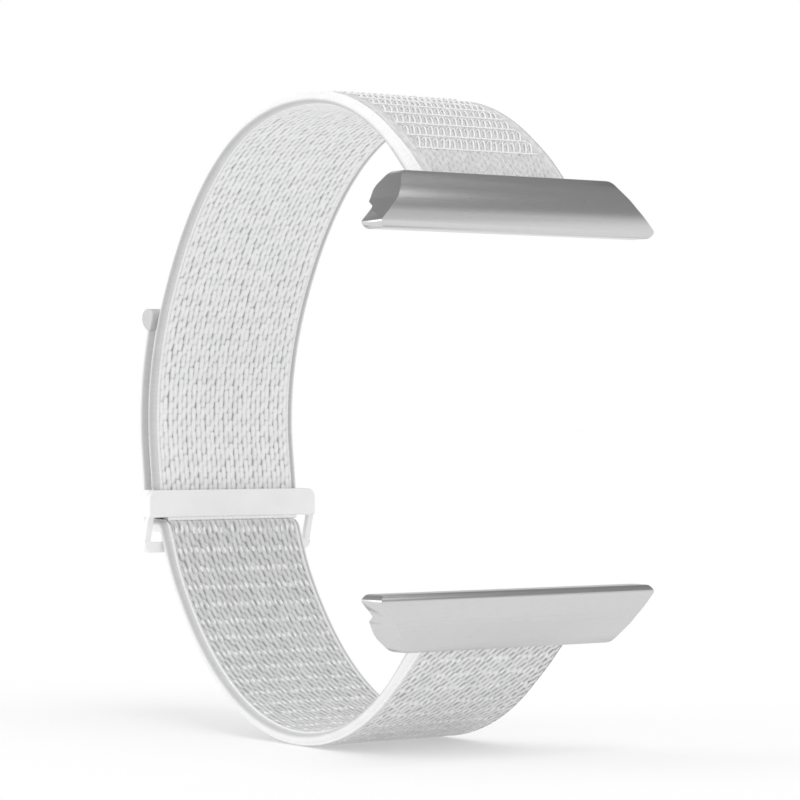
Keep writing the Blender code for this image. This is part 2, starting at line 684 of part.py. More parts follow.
def build_lug_pin(prefix, empty):
    """A straight pin, turned about its own axis, with chamfered ends."""
    half = STRAP_WIDTH / 2.0 + PIN_GRIP
    profile = [
        (0.0, half),
        (PIN_RADIUS - PIN_CHAMFER, half),
        (PIN_RADIUS, half - PIN_CHAMFER),
        (PIN_RADIUS, PIN_CHAMFER - half),
        (PIN_RADIUS - PIN_CHAMFER, -half),
        (0.0, -half),
    ]
    mesh = bpy.data.meshes.new(prefix + "_lug_pin")
    edges = [(i, i + 1) for i in range(len(profile) - 1)]
    mesh.from_pydata([(x, 0.0, z) for x, z in profile], edges, [])
    pin = add_mesh(prefix + "_lug_pin", mesh)
    screw = pin.modifiers.new("turn", "SCREW")
    screw.steps = CIRCLE_STEPS
    screw.render_steps = CIRCLE_STEPS
    screw.use_merge_vertices = True
    screw.merge_threshold = WELD_DISTANCE
    hang(pin, empty, STEEL, (0.0, 0.0, 0.0))
    pin.rotation_euler = (0.0, math.pi / 2.0, 0.0)
    return pin


def build_latch_plunger(prefix, empty):
    flange = [shrunk_pill(LATCH_POCKET_WIDTH, LATCH_POCKET_HEIGHT, RUN_GAP)]
    plunger = front_block(prefix + "_latch_plunger", flange, FLANGE_FRONT, FLANGE_BACK)
    nose = [pill(LATCH_CENTRE, LATCH_NOSE_WIDTH, LATCH_NOSE_HEIGHT)]
    tip = TONGUE_BACK + LATCH_PROUD
    middle = (FLANGE_FRONT + FLANGE_BACK) / 2.0
    cut(plunger, front_block(prefix + "_latch_nose", nose, middle, tip, cutters), "UNION")
    soften(plunger, LATCH_EDGE_ROUND, FINE_SEGMENTS)
    return hang(plunger, empty, STEEL)


def build_latch_retainer(prefix, empty):
    rim = shrunk_pill(LATCH_POCKET_WIDTH, LATCH_POCKET_HEIGHT, PRESS_GAP)
    hole = shrunk_pill(LATCH_NOSE_WIDTH, LATCH_NOSE_HEIGHT, -RUN_GAP)
    name = prefix + "_latch_retainer"
    plate = front_block(name, [rim, hole], RETAINER_BACK - RETAINER_THICKNESS, RETAINER_BACK)
    return hang(plate, empty, STEEL)


def build_latch_spring(prefix, empty):
    """A coil along Y between the pocket's floor and the plunger's flange."""
    start = LATCH_FLOOR + SPRING_END_GAP + SPRING_WIRE / 2.0
    end = FLANGE_FRONT - SPRING_END_GAP - SPRING_WIRE / 2.0
    radius = (SPRING_DIAMETER - SPRING_WIRE) / 2.0
    count = round(SPRING_TURNS * SPRING_POINTS_PER_TURN)
    curve = bpy.data.curves.new(prefix + "_latch_spring", "CURVE")
    curve.dimensions = "3D"
    curve.bevel_depth = SPRING_WIRE / 2.0
    curve.bevel_resolution = WIRE_RESOLUTION
    curve.use_fill_caps = True
    spline = curve.splines.new("POLY")
    spline.points.add(count)
    for i, point in enumerate(spline.points):
        angle = 2.0 * math.pi * i / SPRING_POINTS_PER_TURN
        depth = start + (end - start) * i / count
        height = LATCH_HEIGHT + radius * math.sin(angle)
        point.co = (radius * math.cos(angle), depth, height, 1.0)
    spring = add_mesh(prefix + "_latch_spring", mesh_from_curve(curve))
    return hang(spring, empty, STEEL)


def build_pads(prefix, empty):
    for side, word in ((-1.0, "left"), (1.0, "right")):
        width = PAD_WIDTH - 2.0 * PRESS_GAP
        height = PAD_HEIGHT - 2.0 * PRESS_GAP
        shape = [pill((side * PAD_OFFSET, LATCH_HEIGHT), width, height)]
        floor = TONGUE_BACK - PAD_DEPTH + PRESS_GAP
        pad = front_block(prefix + "_lug_pad_" + word, shape, floor, TONGUE_BACK + PAD_PROUD)
        hang(pad, empty, GREY_RUBBER)


def build_lug(prefix, empty, open_side):
    """Builds a whole lug on its empty, which stands at the pin. The latch gets an empty of its own."""
    build_lug_body(prefix, empty, open_side)
    build_lug_pin(prefix, empty)
    build_latch_retainer(prefix, empty)
    build_latch_spring(prefix, empty)
    build_pads(prefix, empty)
    flange_middle = (0.0, (FLANGE_FRONT + FLANGE_BACK) / 2.0, LATCH_HEIGHT)
    build_latch_plunger(prefix, add_empty(prefix + "_latch_slide", flange_middle, empty))


# The whole strap

def build():
    upper_lug = add_empty("upper_lug_hinge", PIN_ORIGIN)
    upper_strap = add_empty("upper_strap_hinge", PIN_ORIGIN, upper_lug)
    lower_strap = add_empty("lower_strap_flex", (0.0, *FLEX_AXIS), upper_strap)
    tail = add_empty("tail_peel", (0.0, *PEEL_AXIS), upper_strap)
    lower_lug = add_empty("lower_lug_hinge", (0.0, *LOWER_PIN), lower_strap, math.pi, PIN_ORIGIN)
    build_lug("upper", upper_lug, 1.0)
    build_lug("lower", lower_lug, -1.0)
    build_eyed_strap("upper_strap", upper_centreline(), upper_strap)
    build_buckle(upper_strap)
    build_threaded_strap(upper_strap)
    build_eyed_strap("lower_strap", lower_centreline(), lower_strap)
    build_tail(tail)
    build_hook_patch(tail)
    build_end_tab(tail)


for old in list(bpy.data.objects):
    bpy.data.objects.remove(old, do_unlink=True)
parts = new_collection("nylon_watch_strap")
cutters = new_collection("cutters")
build()
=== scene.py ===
"""Looks of the woven nylon watch strap: webbing with its real weave, loops and selvages, satin
metal lugs, a moulded ring buckle and a hook tape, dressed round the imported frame. Lengths are in
metres, and the weave is worked out in millimetres."""

import math

import bmesh
import bpy
import numpy as np
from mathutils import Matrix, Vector


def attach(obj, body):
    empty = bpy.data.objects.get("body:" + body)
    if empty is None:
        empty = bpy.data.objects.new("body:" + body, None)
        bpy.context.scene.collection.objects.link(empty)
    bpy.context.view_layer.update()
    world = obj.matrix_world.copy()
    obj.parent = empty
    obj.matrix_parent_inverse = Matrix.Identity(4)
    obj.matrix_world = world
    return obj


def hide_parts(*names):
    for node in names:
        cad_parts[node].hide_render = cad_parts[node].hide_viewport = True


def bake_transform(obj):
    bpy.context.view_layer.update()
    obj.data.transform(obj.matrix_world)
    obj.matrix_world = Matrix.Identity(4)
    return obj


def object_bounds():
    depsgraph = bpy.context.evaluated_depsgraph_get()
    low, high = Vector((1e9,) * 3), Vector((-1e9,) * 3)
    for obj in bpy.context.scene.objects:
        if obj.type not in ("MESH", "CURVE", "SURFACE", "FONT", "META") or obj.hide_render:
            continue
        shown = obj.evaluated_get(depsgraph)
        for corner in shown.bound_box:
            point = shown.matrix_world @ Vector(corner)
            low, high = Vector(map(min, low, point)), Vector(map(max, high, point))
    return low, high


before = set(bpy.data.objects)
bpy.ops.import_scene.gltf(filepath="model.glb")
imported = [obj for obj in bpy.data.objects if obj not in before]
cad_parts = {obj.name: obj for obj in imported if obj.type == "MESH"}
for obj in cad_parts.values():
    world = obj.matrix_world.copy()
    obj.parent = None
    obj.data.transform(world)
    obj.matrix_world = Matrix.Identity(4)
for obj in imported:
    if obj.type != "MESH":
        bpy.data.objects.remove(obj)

cad_low, cad_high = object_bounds()

MM = 0.001

# The strap's own sizes and route, as in the frame
STRAP_WIDTH = 18.6 * MM
STRAP_THICKNESS = 1.35 * MM
HALF_THICKNESS = STRAP_THICKNESS / 2.0
LOOP_DEPTH = 55.8 * MM
UPPER_RISE = 33.3 * MM
LOWER_DROP = 34.8 * MM
MID_HEIGHT = -18.0 * MM
UPPER_PIN = (2.2 * MM, 4.05 * MM)
LOWER_PIN = (2.2 * MM, -40.05 * MM)
HEM_EXTRA = 0.4 * MM
HEM_LENGTH = 5.0 * MM
HEM_TAPER = 4.0 * MM
EYE_RADIUS = 1.2 * MM
EYE_BORE_RADIUS = 0.65 * MM
FIT_GAP = 0.3 * MM
SEAM_GAP = 0.3 * MM
BEND_RADIUS = 1.1 * MM
PLATE_THICKNESS = 1.2 * MM
PLATE_HEIGHT = 3.1 * MM
SOCKET_DEPTH = 1.3 * MM
SOCKET_WALL = 0.5 * MM
STRAP_PROUD = 0.2 * MM
THREAD_LEAN = math.radians(24.0)
TAIL_LENGTH = 22.4 * MM
TAIL_GAP = 1.05 * MM
HOOK_PATCH_WIDTH = 14.0 * MM
HOOK_PATCH_LENGTH = 12.0 * MM
HOOK_PATCH_START = 6.0 * MM
UPPER_SHARES = [
    (0.109, 0.832),
    (0.260, 0.964),
    (0.430, 1.000),
    (0.645, 0.919),
    (0.796, 0.735),
    (0.906, 0.488),
    (0.985, 0.159),
    (0.995, -0.090),
    (0.983, -0.255),
    (0.981, -0.306),
]
LOWER_SHARES = [
    (0.921, 0.503),
    (0.883, 0.600),
    (0.767, 0.803),
    (0.594, 0.960),
    (0.430, 1.000),
    (0.260, 0.946),
    (0.128, 0.822),
    (0.039, 0.690),
]
UPPER_KNOTS = [UPPER_PIN] + [
    (UPPER_PIN[0] + LOOP_DEPTH * back, MID_HEIGHT + UPPER_RISE * up)
    for back, up in UPPER_SHARES
]
LOWER_KNOTS = [
    (LOWER_PIN[0] + LOOP_DEPTH * back, MID_HEIGHT - LOWER_DROP * down)
    for back, down in LOWER_SHARES
]
UPPER_END = UPPER_KNOTS[-1]
PLATE_BOTTOM = UPPER_END[1] + SOCKET_DEPTH - PLATE_HEIGHT
PLATE_FRONT = UPPER_END[0] - HALF_THICKNESS - FIT_GAP - PLATE_THICKNESS
THREAD_PLANE = PLATE_FRONT - STRAP_PROUD + HALF_THICKNESS
THREAD_HEIGHT = PLATE_BOTTOM - FIT_GAP - HALF_THICKNESS
TAIL_PLANE = UPPER_END[0] + STRAP_THICKNESS + 2.0 * FIT_GAP + SOCKET_WALL
LEAN_RUN = np.array((math.sin(THREAD_LEAN), math.cos(THREAD_LEAN)))
LOWER_BEND = np.array((THREAD_PLANE + BEND_RADIUS, THREAD_HEIGHT - BEND_RADIUS))
LOWER_TOP = LOWER_BEND + BEND_RADIUS * np.array((-LEAN_RUN[1], LEAN_RUN[0])) - SEAM_GAP * LEAN_RUN
TAIL_FOOT_HEIGHT = THREAD_HEIGHT + BEND_RADIUS + SEAM_GAP
WEBBING_START = 0.7 * EYE_RADIUS

# Weave, in millimetres: strands run along the strap, and a row of loops crosses it at every repeat
ROW_PITCH = 2.42
STRANDS = 29
LOOPS_PER_ROW = 24
FIRST_ROW = 5.98
OUTER_DOT_ROW = 3.90
SKIN_DOT_ROW = 3.12
LOOP_REACH = 7.55
WEAVE_WIDTH = 17.8
STRAND_PITCH = WEAVE_WIDTH / STRANDS
LOOP_PITCH = WEAVE_WIDTH / LOOPS_PER_ROW
RIB_PITCH = 0.25

# How finely the webbing is drawn, and how its faces and edges are built up
GRID_ACROSS = 0.11 * MM
GRID_ALONG = 0.15 * MM
LINE_STEP = 0.1 * MM
OUTER_FACE_HALF = 8.80 * MM
UPPER_SKIN_HALF = 8.46 * MM
LOWER_SKIN_HALF = 8.22 * MM
UPPER_ROLL = 0.90 * MM
LOWER_ROLL = 0.73 * MM
UPPER_FULLNESS = 0.65
LOWER_FULLNESS = 0.50
ROLL_LIMIT = 9.52 * MM
ROLL_YIELD = 0.1
ROLL_BACK = 0.2 * MM
FREE_FROM = 7.0 * MM
FREE_TO = 9.0 * MM
RELIEF_SINK = 0.11 * MM
CORE_GAP = 0.02 * MM
CORD_RADIUS = 0.15 * MM
SKIN_CORD_RADIUS = 0.23 * MM
CORD_SINK = 0.06 * MM
CORD_RISE = 0.03 * MM
CORD_STEP = 0.2 * MM
CORD_TWIST = 0.8 * MM
CORD_SIDES = 8
FOLD_RADIUS = 0.20 * MM
FOLD_SIDES = 10
RING_SWELL = 0.36 * MM
RING_SWELL_BACK = 0.75 * MM
RING_SWELL_REACH = 0.8 * MM
END_BAR_HALF = 1.24 * MM
END_BAR_BACK = 1.65 * MM
END_BAR_FRONT = 0.75 * MM
END_BAR_EASE = 0.14 * MM
END_BAR_SIDES = 48
HOOK_ROW_PITCH = 0.72 * MM
HOOK_COLUMN_PITCH = 0.7 * MM
STITCH_PITCH = 0.95 * MM
STITCH_REACH = 0.34 * MM
SOLID_SHARP_ANGLE = math.radians(75.0)
FRAME_SHARP_ANGLE = math.radians(32.0)
WELD_DISTANCE = 0.003 * MM
BUCKLE_VOXEL = 0.085 * MM
BUCKLE_EASE_ROUNDS = 5

# Floor and light. The backdrop's heights are the sine of the angle above the horizon
FLOOR_GAP = 0.12 * MM
FLOOR_REACH = 6.0
FLOOR_SHADE = 0.62
FLOOR_GLOW = 0.33
ROOM_LEVEL = 0.80
BACKDROP_WHITE_TO = 0.16
CEILING_FROM = 0.36
CEILING_SHADE = 0.30
SUN_SPREAD = math.radians(45.0)

# Camera, fitted to the outline of what the strap holds in the photograph
CAMERA_PLACE = (-185.66 * MM, -256.68 * MM, -18.61 * MM)
CAMERA_TURN = math.radians(35.877)
CAMERA_LENS = 140.54
SENSOR_WIDTH = 36.0
CAMERA_SHIFT = (-0.13936, 0.0221)


# Routes of the webbing

def smooth_line(points):
    """Returns a natural cubic spline through the points, sampled finely."""
    knots = np.array(points, dtype=float)
    chords = np.linalg.norm(np.diff(knots, axis=0), axis=1)
    count = len(knots)
    system = np.zeros((count, count))
    right = np.zeros((count, 2))
    system[0, 0] = 1.0
    system[-1, -1] = 1.0
    for i in range(1, count - 1):
        system[i, i - 1] = chords[i - 1]
        system[i, i] = 2.0 * (chords[i - 1] + chords[i])
        system[i, i + 1] = chords[i]
        slope_after = (knots[i + 1] - knots[i]) / chords[i]
        slope_before = (knots[i] - knots[i - 1]) / chords[i - 1]
        right[i] = 6.0 * (slope_after - slope_before)
    bend = np.linalg.solve(system, right)
    line = []
    for i, chord in enumerate(chords):
        for part in np.linspace(0.0, 1.0, max(2, round(chord / LINE_STEP)), endpoint=False):
            after = part * chord
            before = chord - after
            line.append(
                (bend[i] * before**3 + bend[i + 1] * after**3) / (6.0 * chord)
                + (knots[i] / chord - bend[i] * chord / 6.0) * before
                + (knots[i + 1] / chord - bend[i + 1] * chord / 6.0) * after
            )
    line.append(knots[-1])
    return np.array(line)


def run_lengths(line):
    """Returns the length along a line at each of its points."""
    steps = np.linalg.norm(np.diff(line, axis=0), axis=1)
    return np.concatenate([[0.0], np.cumsum(steps)])


def left_normals(line):
    """Returns the unit normals to the left of a line."""
    slopes = np.gradient(line, axis=0)
    slopes /= np.linalg.norm(slopes, axis=1)[:, None]
    return np.stack([-slopes[:, 1], slopes[:, 0]], axis=1)


def arc(centre, radius, start, end):
    """Returns the points of an arc between two angles."""
    count = max(3, round(abs(end - start) * radius / LINE_STEP))
    angles = np.linspace(start, end, count + 1)
    return np.array(centre) + radius * np.stack([np.cos(angles), np.sin(angles)], axis=1)


def route(line):
    """Returns a route: an evenly stepped line, the length along it and its left normals."""
    lengths = run_lengths(line)
    even = np.linspace(0.0, lengths[-1], round(lengths[-1] / LINE_STEP))
    line = np.stack([np.interp(even, lengths, line[:, axis]) for axis in range(2)], axis=1)
    return {"line": line, "run": even, "normals": left_normals(line), "length": even[-1]}


def on_route(way, s):
    """Returns the points and unit normals at lengths along a route."""
    place, normal = (
        np.stack([np.interp(s, way["run"], way[key][:, axis]) for axis in range(2)], axis=1)
        for key in ("line", "normals")
    )
    return place, normal / np.linalg.norm(normal, axis=1)[:, None]


def half_thickness(s):
    """The webbing is doubled and sewn near the lug, and tapers out to its plain thickness."""
    fade = 1.0 - np.clip((s - HEM_LENGTH) / HEM_TAPER, 0.0, 1.0)
    return HALF_THICKNESS + HEM_EXTRA / 2.0 * fade


def upper_route():
    way = route(smooth_line(UPPER_KNOTS))
    way.update(skin=-1.0, skin_half=UPPER_SKIN_HALF, roll=UPPER_ROLL, fullness=UPPER_FULLNESS)
    way["free_end"] = way["length"] - SOCKET_DEPTH - 0.2 * MM
    return way


def lower_route():
    """The whole lower webbing: from the lower pin to the ring, in an S through it, and up as the
    tail."""
    top = [LOWER_TOP - HALF_THICKNESS * LEAN_RUN, LOWER_TOP]
    lower = smooth_line([LOWER_PIN] + LOWER_KNOTS[::-1] + top)
    quarter = math.pi / 2.0
    upper_bend = (TAIL_PLANE - BEND_RADIUS, THREAD_HEIGHT + BEND_RADIUS)
    first = arc(LOWER_BEND, BEND_RADIUS, math.pi - THREAD_LEAN, quarter)
    second = arc(upper_bend, BEND_RADIUS, -quarter, 0.0)
    foot = np.array([(UPPER_END[0], TAIL_FOOT_HEIGHT)])
    inner = np.concatenate([foot, smooth_line(UPPER_KNOTS)[::-1]])
    away = STRAP_THICKNESS + TAIL_GAP
    at_buckle = TAIL_PLANE - inner[0][0]
    fade = np.clip(run_lengths(inner) / TAIL_LENGTH, 0.0, 1.0)
    offset = at_buckle + (away - at_buckle) * fade
    tail = inner - left_normals(inner) * offset[:, None]
    tail = tail[run_lengths(tail) <= TAIL_LENGTH]
    way = route(np.concatenate([lower, first, second, tail]))
    way.update(skin=1.0, skin_half=LOWER_SKIN_HALF, roll=LOWER_ROLL, fullness=LOWER_FULLNESS)
    way["free_end"] = way["length"] + MM
    way["ring"] = run_lengths(lower)[-1] + run_lengths(first)[-1] + SEAM_GAP
    way["tail"] = way["length"] - TAIL_LENGTH
    return way


# Meshes

def add_object(name, mesh, look):
    obj = bpy.data.objects.new(name, mesh)
    bpy.context.scene.collection.objects.link(obj)
    mesh.materials.clear()
    mesh.materials.append(look)
    return obj


def solid(name, points, faces, look, place=None, tone=None):
    """Makes a closed, smooth-shaded piece. Place and tone are kept per point for its material."""
    mesh = bpy.data.meshes.new(name)
    mesh.from_pydata(np.asarray(points).tolist(), [], faces)
    if place is not None:
        mesh.attributes.new("strap_place", "FLOAT_VECTOR", "POINT").data.foreach_set(
            "vector", np.asarray(place, np.float32).ravel()
        )
    if tone is not None:
        mesh.attributes.new("tone", "FLOAT", "POINT").data.foreach_set(
            "value", np.asarray(tone, np.float32).ravel()
        )
    shape = bmesh.new()
    shape.from_mesh(mesh)
    bmesh.ops.recalc_face_normals(shape, faces=shape.faces)
    shape.to_mesh(mesh)
    shape.free()
    mesh.shade_smooth()
    mesh.set_sharp_from_angle(angle=SOLID_SHARP_ANGLE)
    return add_object(name, mesh, look)


def grid_faces(rows, columns, first=0):
    """The quads of a grid of points, listed row by row from the first index."""
    corner = first + np.arange((rows - 1) * columns).reshape(rows - 1, columns)[:, :-1].ravel()
    return np.stack([corner, corner + 1, corner + columns + 1, corner + columns], axis=1).tolist()


def slab(name, front, back, look, place, tone):
    """A closed slab with a fine front, a grid of rows, and a back of two points for each row."""
    rows, columns = front.shape[:2]
    points = np.concatenate([front.reshape(-1, 3), back.reshape(-1, 3)])
    base = rows * columns
    faces = grid_faces(rows, columns)
    for row in range(rows - 1):
        left, right = base + 2 * row, base + 2 * row + 1
        first, last = row * columns, (row + 1) * columns - 1
        faces.append([left, right, right + 2, left + 2])
        faces.append([first, left, left + 2, first + columns])
        faces.append([last, last + columns, right + 2, right])
    for row in (0, rows - 1):
        edge = list(range(row * columns, (row + 1) * columns))
        faces.append(edge + [base + 2 * row + 1, base + 2 * row])
    extra = np.zeros((2 * rows, 3))
    place = np.concatenate([place.reshape(-1, 3), extra])
    tone = np.concatenate([tone.ravel(), extra[:, 0]])
    return solid(name, points, faces, look, place, tone)


def tube_faces(rings, sides):
    """The faces of a closed tube of rings, whose points are listed ring by ring."""
    faces = []
    for i in range(rings - 1):
        for j in range(sides):
            k = (j + 1) % sides
            faces.append([i * sides + j, i * sides + k, (i + 1) * sides + k, (i + 1) * sides + j])
    faces.append(list(range(sides))[::-1])
    faces.append(list(range((rings - 1) * sides, rings * sides)))
    return faces


def tube(path, radius, sides):
    """Returns the points and faces of a closed tube along a path of points."""
    path = np.asarray(path, float)
    slopes = np.gradient(path, axis=0)
    slopes /= np.linalg.norm(slopes, axis=1)[:, None] + 1e-12
    reference = np.array((1.0, 0.0, 0.0))
    if abs(slopes[:, 0]).max() > 0.9:
        reference = np.array((0.0, 0.31, 0.95))
    across = np.cross(slopes, reference)
    across /= np.linalg.norm(across, axis=1)[:, None]
    upward = np.cross(slopes, across)
    angles = np.arange(sides) * 2.0 * math.pi / sides
    radius = np.reshape(radius, (-1, 1, 1))
    cosines, sines = np.cos(angles)[None, :, None], np.sin(angles)[None, :, None]
    ring = across[:, None] * cosines + upward[:, None] * sines
    points = (path[:, None] + radius * ring).reshape(-1, 3)
    return points, tube_faces(len(path), sides)


def tube_place(u, s, tint, sides):
    """The place on the webbing of each point of a tube, in millimetres, with a tint."""
    spots = np.broadcast_arrays(np.asarray(u) / MM, np.asarray(s) / MM, tint)
    return np.repeat(np.stack(spots, axis=1), sides, axis=0)


def yarn(way, u, s, n, radius, sides, tint=0.5):
    """A tube along a path on the webbing: its points, its faces and their place."""
    points, faces = tube(strap_points(way, u, s, n), radius, sides)
    return points, faces, tube_place(u, s, tint, sides)


def bundle(name, yarns, look, tone):
    """Joins yarns into one piece. Tone is one number for them all, or a list with one for each."""
    faces, count = [], 0
    for own_points, own_faces, place in yarns:
        faces.extend([[i + count for i in face] for face in own_faces])
        count += len(own_points)
    points = np.concatenate([own[0] for own in yarns])
    places = np.concatenate([own[2] for own in yarns])
    tones = np.repeat(np.broadcast_to(tone, len(yarns)), [len(own[0]) for own in yarns])
    return solid(name, points, faces, look, places, tones)


def strap_points(way, u, s, n):
    """World points of places on a route: across it, along it and off its centreline."""
    shape = np.broadcast(u, s, n).shape
    u, s, n = (np.broadcast_to(value, shape) for value in (u, s, n))
    place, normal = on_route(way, s.ravel())
    flat = n.ravel()[:, None]
    points = np.concatenate([u.ravel()[:, None], place + normal * flat], axis=1)
    return points.reshape(shape + (3,))


# Weave relief: heights over a face in millimetres, with a tone from 0 in hollows to 1 on the yarn.
# The dark tone in the hollows is painted shade

def bell(value, centre, width):
    """A smooth bump of height 1 round a centre."""
    return np.exp(-(((value - centre) / width) ** 2))


def scatter(i, k, seed):
    """A fixed pseudo-random number from 0 to 1 for each pair of whole numbers."""
    value = np.sin(i * 12.9898 + k * 78.233 + seed * 37.719) * 43758.5453
    return value - np.floor(value)


def grains(u, s, pitch, length, lean, sway, step, pairing, seed):
    """Rice-grain stitches: a height that is round, a tone that is flat-topped with narrow dark
    valleys of painted shade, and a chance number for each grain.

    Each strand is a chain of grains, which lean and sway from one to the next. Length is from one
    grain to the next, step is how far each strand's chain is shifted against its neighbour's, and
    pairing draws the strands together in twos, so that every second valley is wide."""
    best = np.zeros_like(u)
    tone = np.zeros_like(u)
    tint = np.zeros_like(u)
    strand = np.floor(u / pitch)
    for side in (-1, 0, 1):
        i = strand + side
        centre = (i + 0.5 + pairing * (0.5 - np.mod(i, 2.0))) * pitch
        phase = step * i + 0.14 * (scatter(i, 0.0 * i, seed + 2.0) - 0.5)
        nearest = np.round(s / length - phase)
        for back in (-1, 0, 1):
            k = nearest + back
            chance = scatter(i, k, seed)
            other = scatter(k, i, seed + 1.0)
            angle = math.radians(lean) + math.radians(sway) * (2.0 * np.mod(i + k, 2.0) - 1.0)
            angle = angle + math.radians(6.0) * (chance - 0.5)
            du = u - centre - 0.10 * pitch * (other - 0.5)
            ds = s - (k + phase) * length - 0.12 * length * (chance - 0.5)
            across = np.abs(du * np.cos(angle) - ds * np.sin(angle)) / (0.56 * pitch)
            along = np.abs(du * np.sin(angle) + ds * np.cos(angle)) / (0.60 * length)
            height = np.clip(1.0 - across**2 - along**4, 0.0, None) ** 0.6 * (0.86 + 0.14 * other)
            flat = np.clip(1.0 - across**3.2 - along**6, 0.0, None)
            higher = height > best
            best = np.where(higher, height, best)
            tone = np.where(higher, flat, tone)
            tint = np.where(higher, chance, tint)
    return best, tone, tint


def dots(u, s, first, reach, seed):
    """A row of small bright loops across the strap at every repeat of the weave."""
    best = np.zeros_like(u)
    k = np.round((s - first) / ROW_PITCH)
    for side in (-1, 0, 1):
        i = np.floor(u / LOOP_PITCH) + side
        chance = scatter(i, k, seed)
        du = u - (i + 0.5) * LOOP_PITCH - 0.10 * (scatter(k, i, seed) - 0.5)
        ds = s - first - k * ROW_PITCH - 0.26 * (chance - 0.5)
        inside = 1.0 - (np.abs(du + 0.12 * ds) / 0.150) ** 3 - (ds / 0.36) ** 2
        best = np.maximum(best, np.clip(inside, 0.0, None) ** 0.4 * (0.35 + 0.65 * chance**0.5))
    return best * (np.abs(u) < reach)


def chain_relief(u, s):
    """The skin face of the upper strap: chains of leaning grains, brighter at every repeat."""
    height, tone, tint = grains(
        u, s, STRAND_PITCH, length=1.38, lean=-5.0, sway=3.5, step=0.5, pairing=0.05, seed=3.0
    )
    repeat = 0.5 + 0.5 * np.cos(2.0 * math.pi * s / ROW_PITCH)
    tone = tone * (0.90 + 0.12 * repeat + 0.16 * (tint - 0.5))
    return 0.19 * height, np.clip(tone, 0.0, 1.0), tint


def twill_relief(u, s):
    """The skin face of the lower webbing: close leaning stitches, and rows of bright dots."""
    height, tone, tint = grains(
        u, s, STRAND_PITCH, length=1.62, lean=-9.0, sway=1.0, step=0.38, pairing=0.04, seed=11.0
    )
    nick = 0.5 + 0.5 * np.sin(2.0 * math.pi * (s / 0.42 + u / 0.55) + 5.0 * tint)
    bright = dots(u, s, SKIN_DOT_ROW, reach=8.0, seed=7.0)
    # The lower webbing's tone is set lower than the upper skin's: a greyer yarn, and partly painted
    # shade for the darker lower length
    tone = tone * (0.52 + 0.10 * tint - 0.14 * nick)
    height = np.maximum(0.18 * height - 0.02 * nick, 0.22 * bright)
    return height, np.maximum(tone, bright * 1.5), tint


def slant_relief(u, s):
    """The outer face of the lower webbing, and of the tail: short stitches on a slant, and dots."""
    height, tone, tint = grains(
        u, s, STRAND_PITCH, length=1.30, lean=-22.0, sway=2.0, step=0.37, pairing=0.0, seed=31.0
    )
    bright = dots(u, s, OUTER_DOT_ROW, reach=8.2, seed=17.0)
    tone = (0.60 + 0.16 * tint) * tone
    return np.maximum(0.16 * height, 0.21 * bright), np.maximum(tone, bright * 1.5), tint


def ground_relief(u, s):
    """The outer face of the upper strap under its loops: short upright stitches, then a painted
    shadow arch over each loop, sunk a little as a hollow, painted shade beside each loop, and plain
    selvages with a few lines down them."""
    height, tone, tint = grains(
        u, s, LOOP_PITCH / 2.0, length=0.80, lean=2.0, sway=7.0, step=0.43, pairing=0.06, seed=23.0
    )
    plain = np.abs(u) > LOOP_REACH
    lines = 0.5 + 0.5 * np.cos(2.0 * math.pi * u / 0.44)
    height = np.where(plain, 0.75 + 0.2 * lines, height)
    tone = np.where(plain, 0.80 + 0.20 * lines, tone)
    in_rows = (s > FIRST_ROW) * (1.0 - plain)
    row_place = s - FIRST_ROW - np.floor((s - FIRST_ROW) / ROW_PITCH) * ROW_PITCH
    aside = u - 0.36 * row_place + 0.10
    share = (aside / LOOP_PITCH - np.floor(aside / LOOP_PITCH) - 0.5) * 2.0
    # Painted shadow: a dark arch over each loop's top and painted shade beside its limb. The arch
    # also sinks the ground a little
    painted_arch_shadow = bell(row_place + 0.40 * share**2, 2.12, 0.12)
    shade = bell(share, 0.55, 0.22) * (row_place < 2.0)
    painted_shadow = np.maximum(0.85 * painted_arch_shadow, 0.40 * shade) * in_rows
    tone = tone * (0.60 + 0.30 * tint)
    elsewhere = np.where(plain, 0.9 * tone, 0.18 + 0.62 * tone)
    tone = np.where(in_rows > 0.5, 0.45 + 0.30 * tone, elsewhere)
    height = np.where(in_rows > 0.5, 0.35 + 0.4 * height, height)
    return 0.13 * height - 0.05 * painted_shadow, tone * (1.0 - painted_shadow), tint


def face(name, way, start, end, side, relief, look):
    """One face of the webbing, as a closed slab from the core to the tops of the yarn."""
    half_width = way["skin_half"] if side == way["skin"] else OUTER_FACE_HALF
    s = np.linspace(start, end, round((end - start) / GRID_ALONG) + 1)
    u = np.linspace(-half_width, half_width, round(2.0 * half_width / GRID_ACROSS) + 1)
    across, along = np.meshgrid(u, s)
    height, tone, tint = relief(across / MM, along / MM)
    n = half_thickness(along) - RELIEF_SINK + height * MM
    if side > 0.0 and "ring" in way:
        past = along - way["ring"]
        n = n + RING_SWELL * bell(past, -RING_SWELL_BACK, RING_SWELL_REACH)
        # Painted highlight: a bright band on the bend's top, just under the plate's edge
        tone = np.maximum(tone, 0.95 * bell(past, -0.62 * MM, 0.20 * MM))
    front = strap_points(way, across, along, side * n)
    ends = np.array((-half_width, half_width))[None, :]
    back = strap_points(way, ends, s[:, None], side * CORE_GAP)
    place = np.stack([across / MM, along / MM, tint], axis=2)
    return slab(name, front, back, look, place, tone)


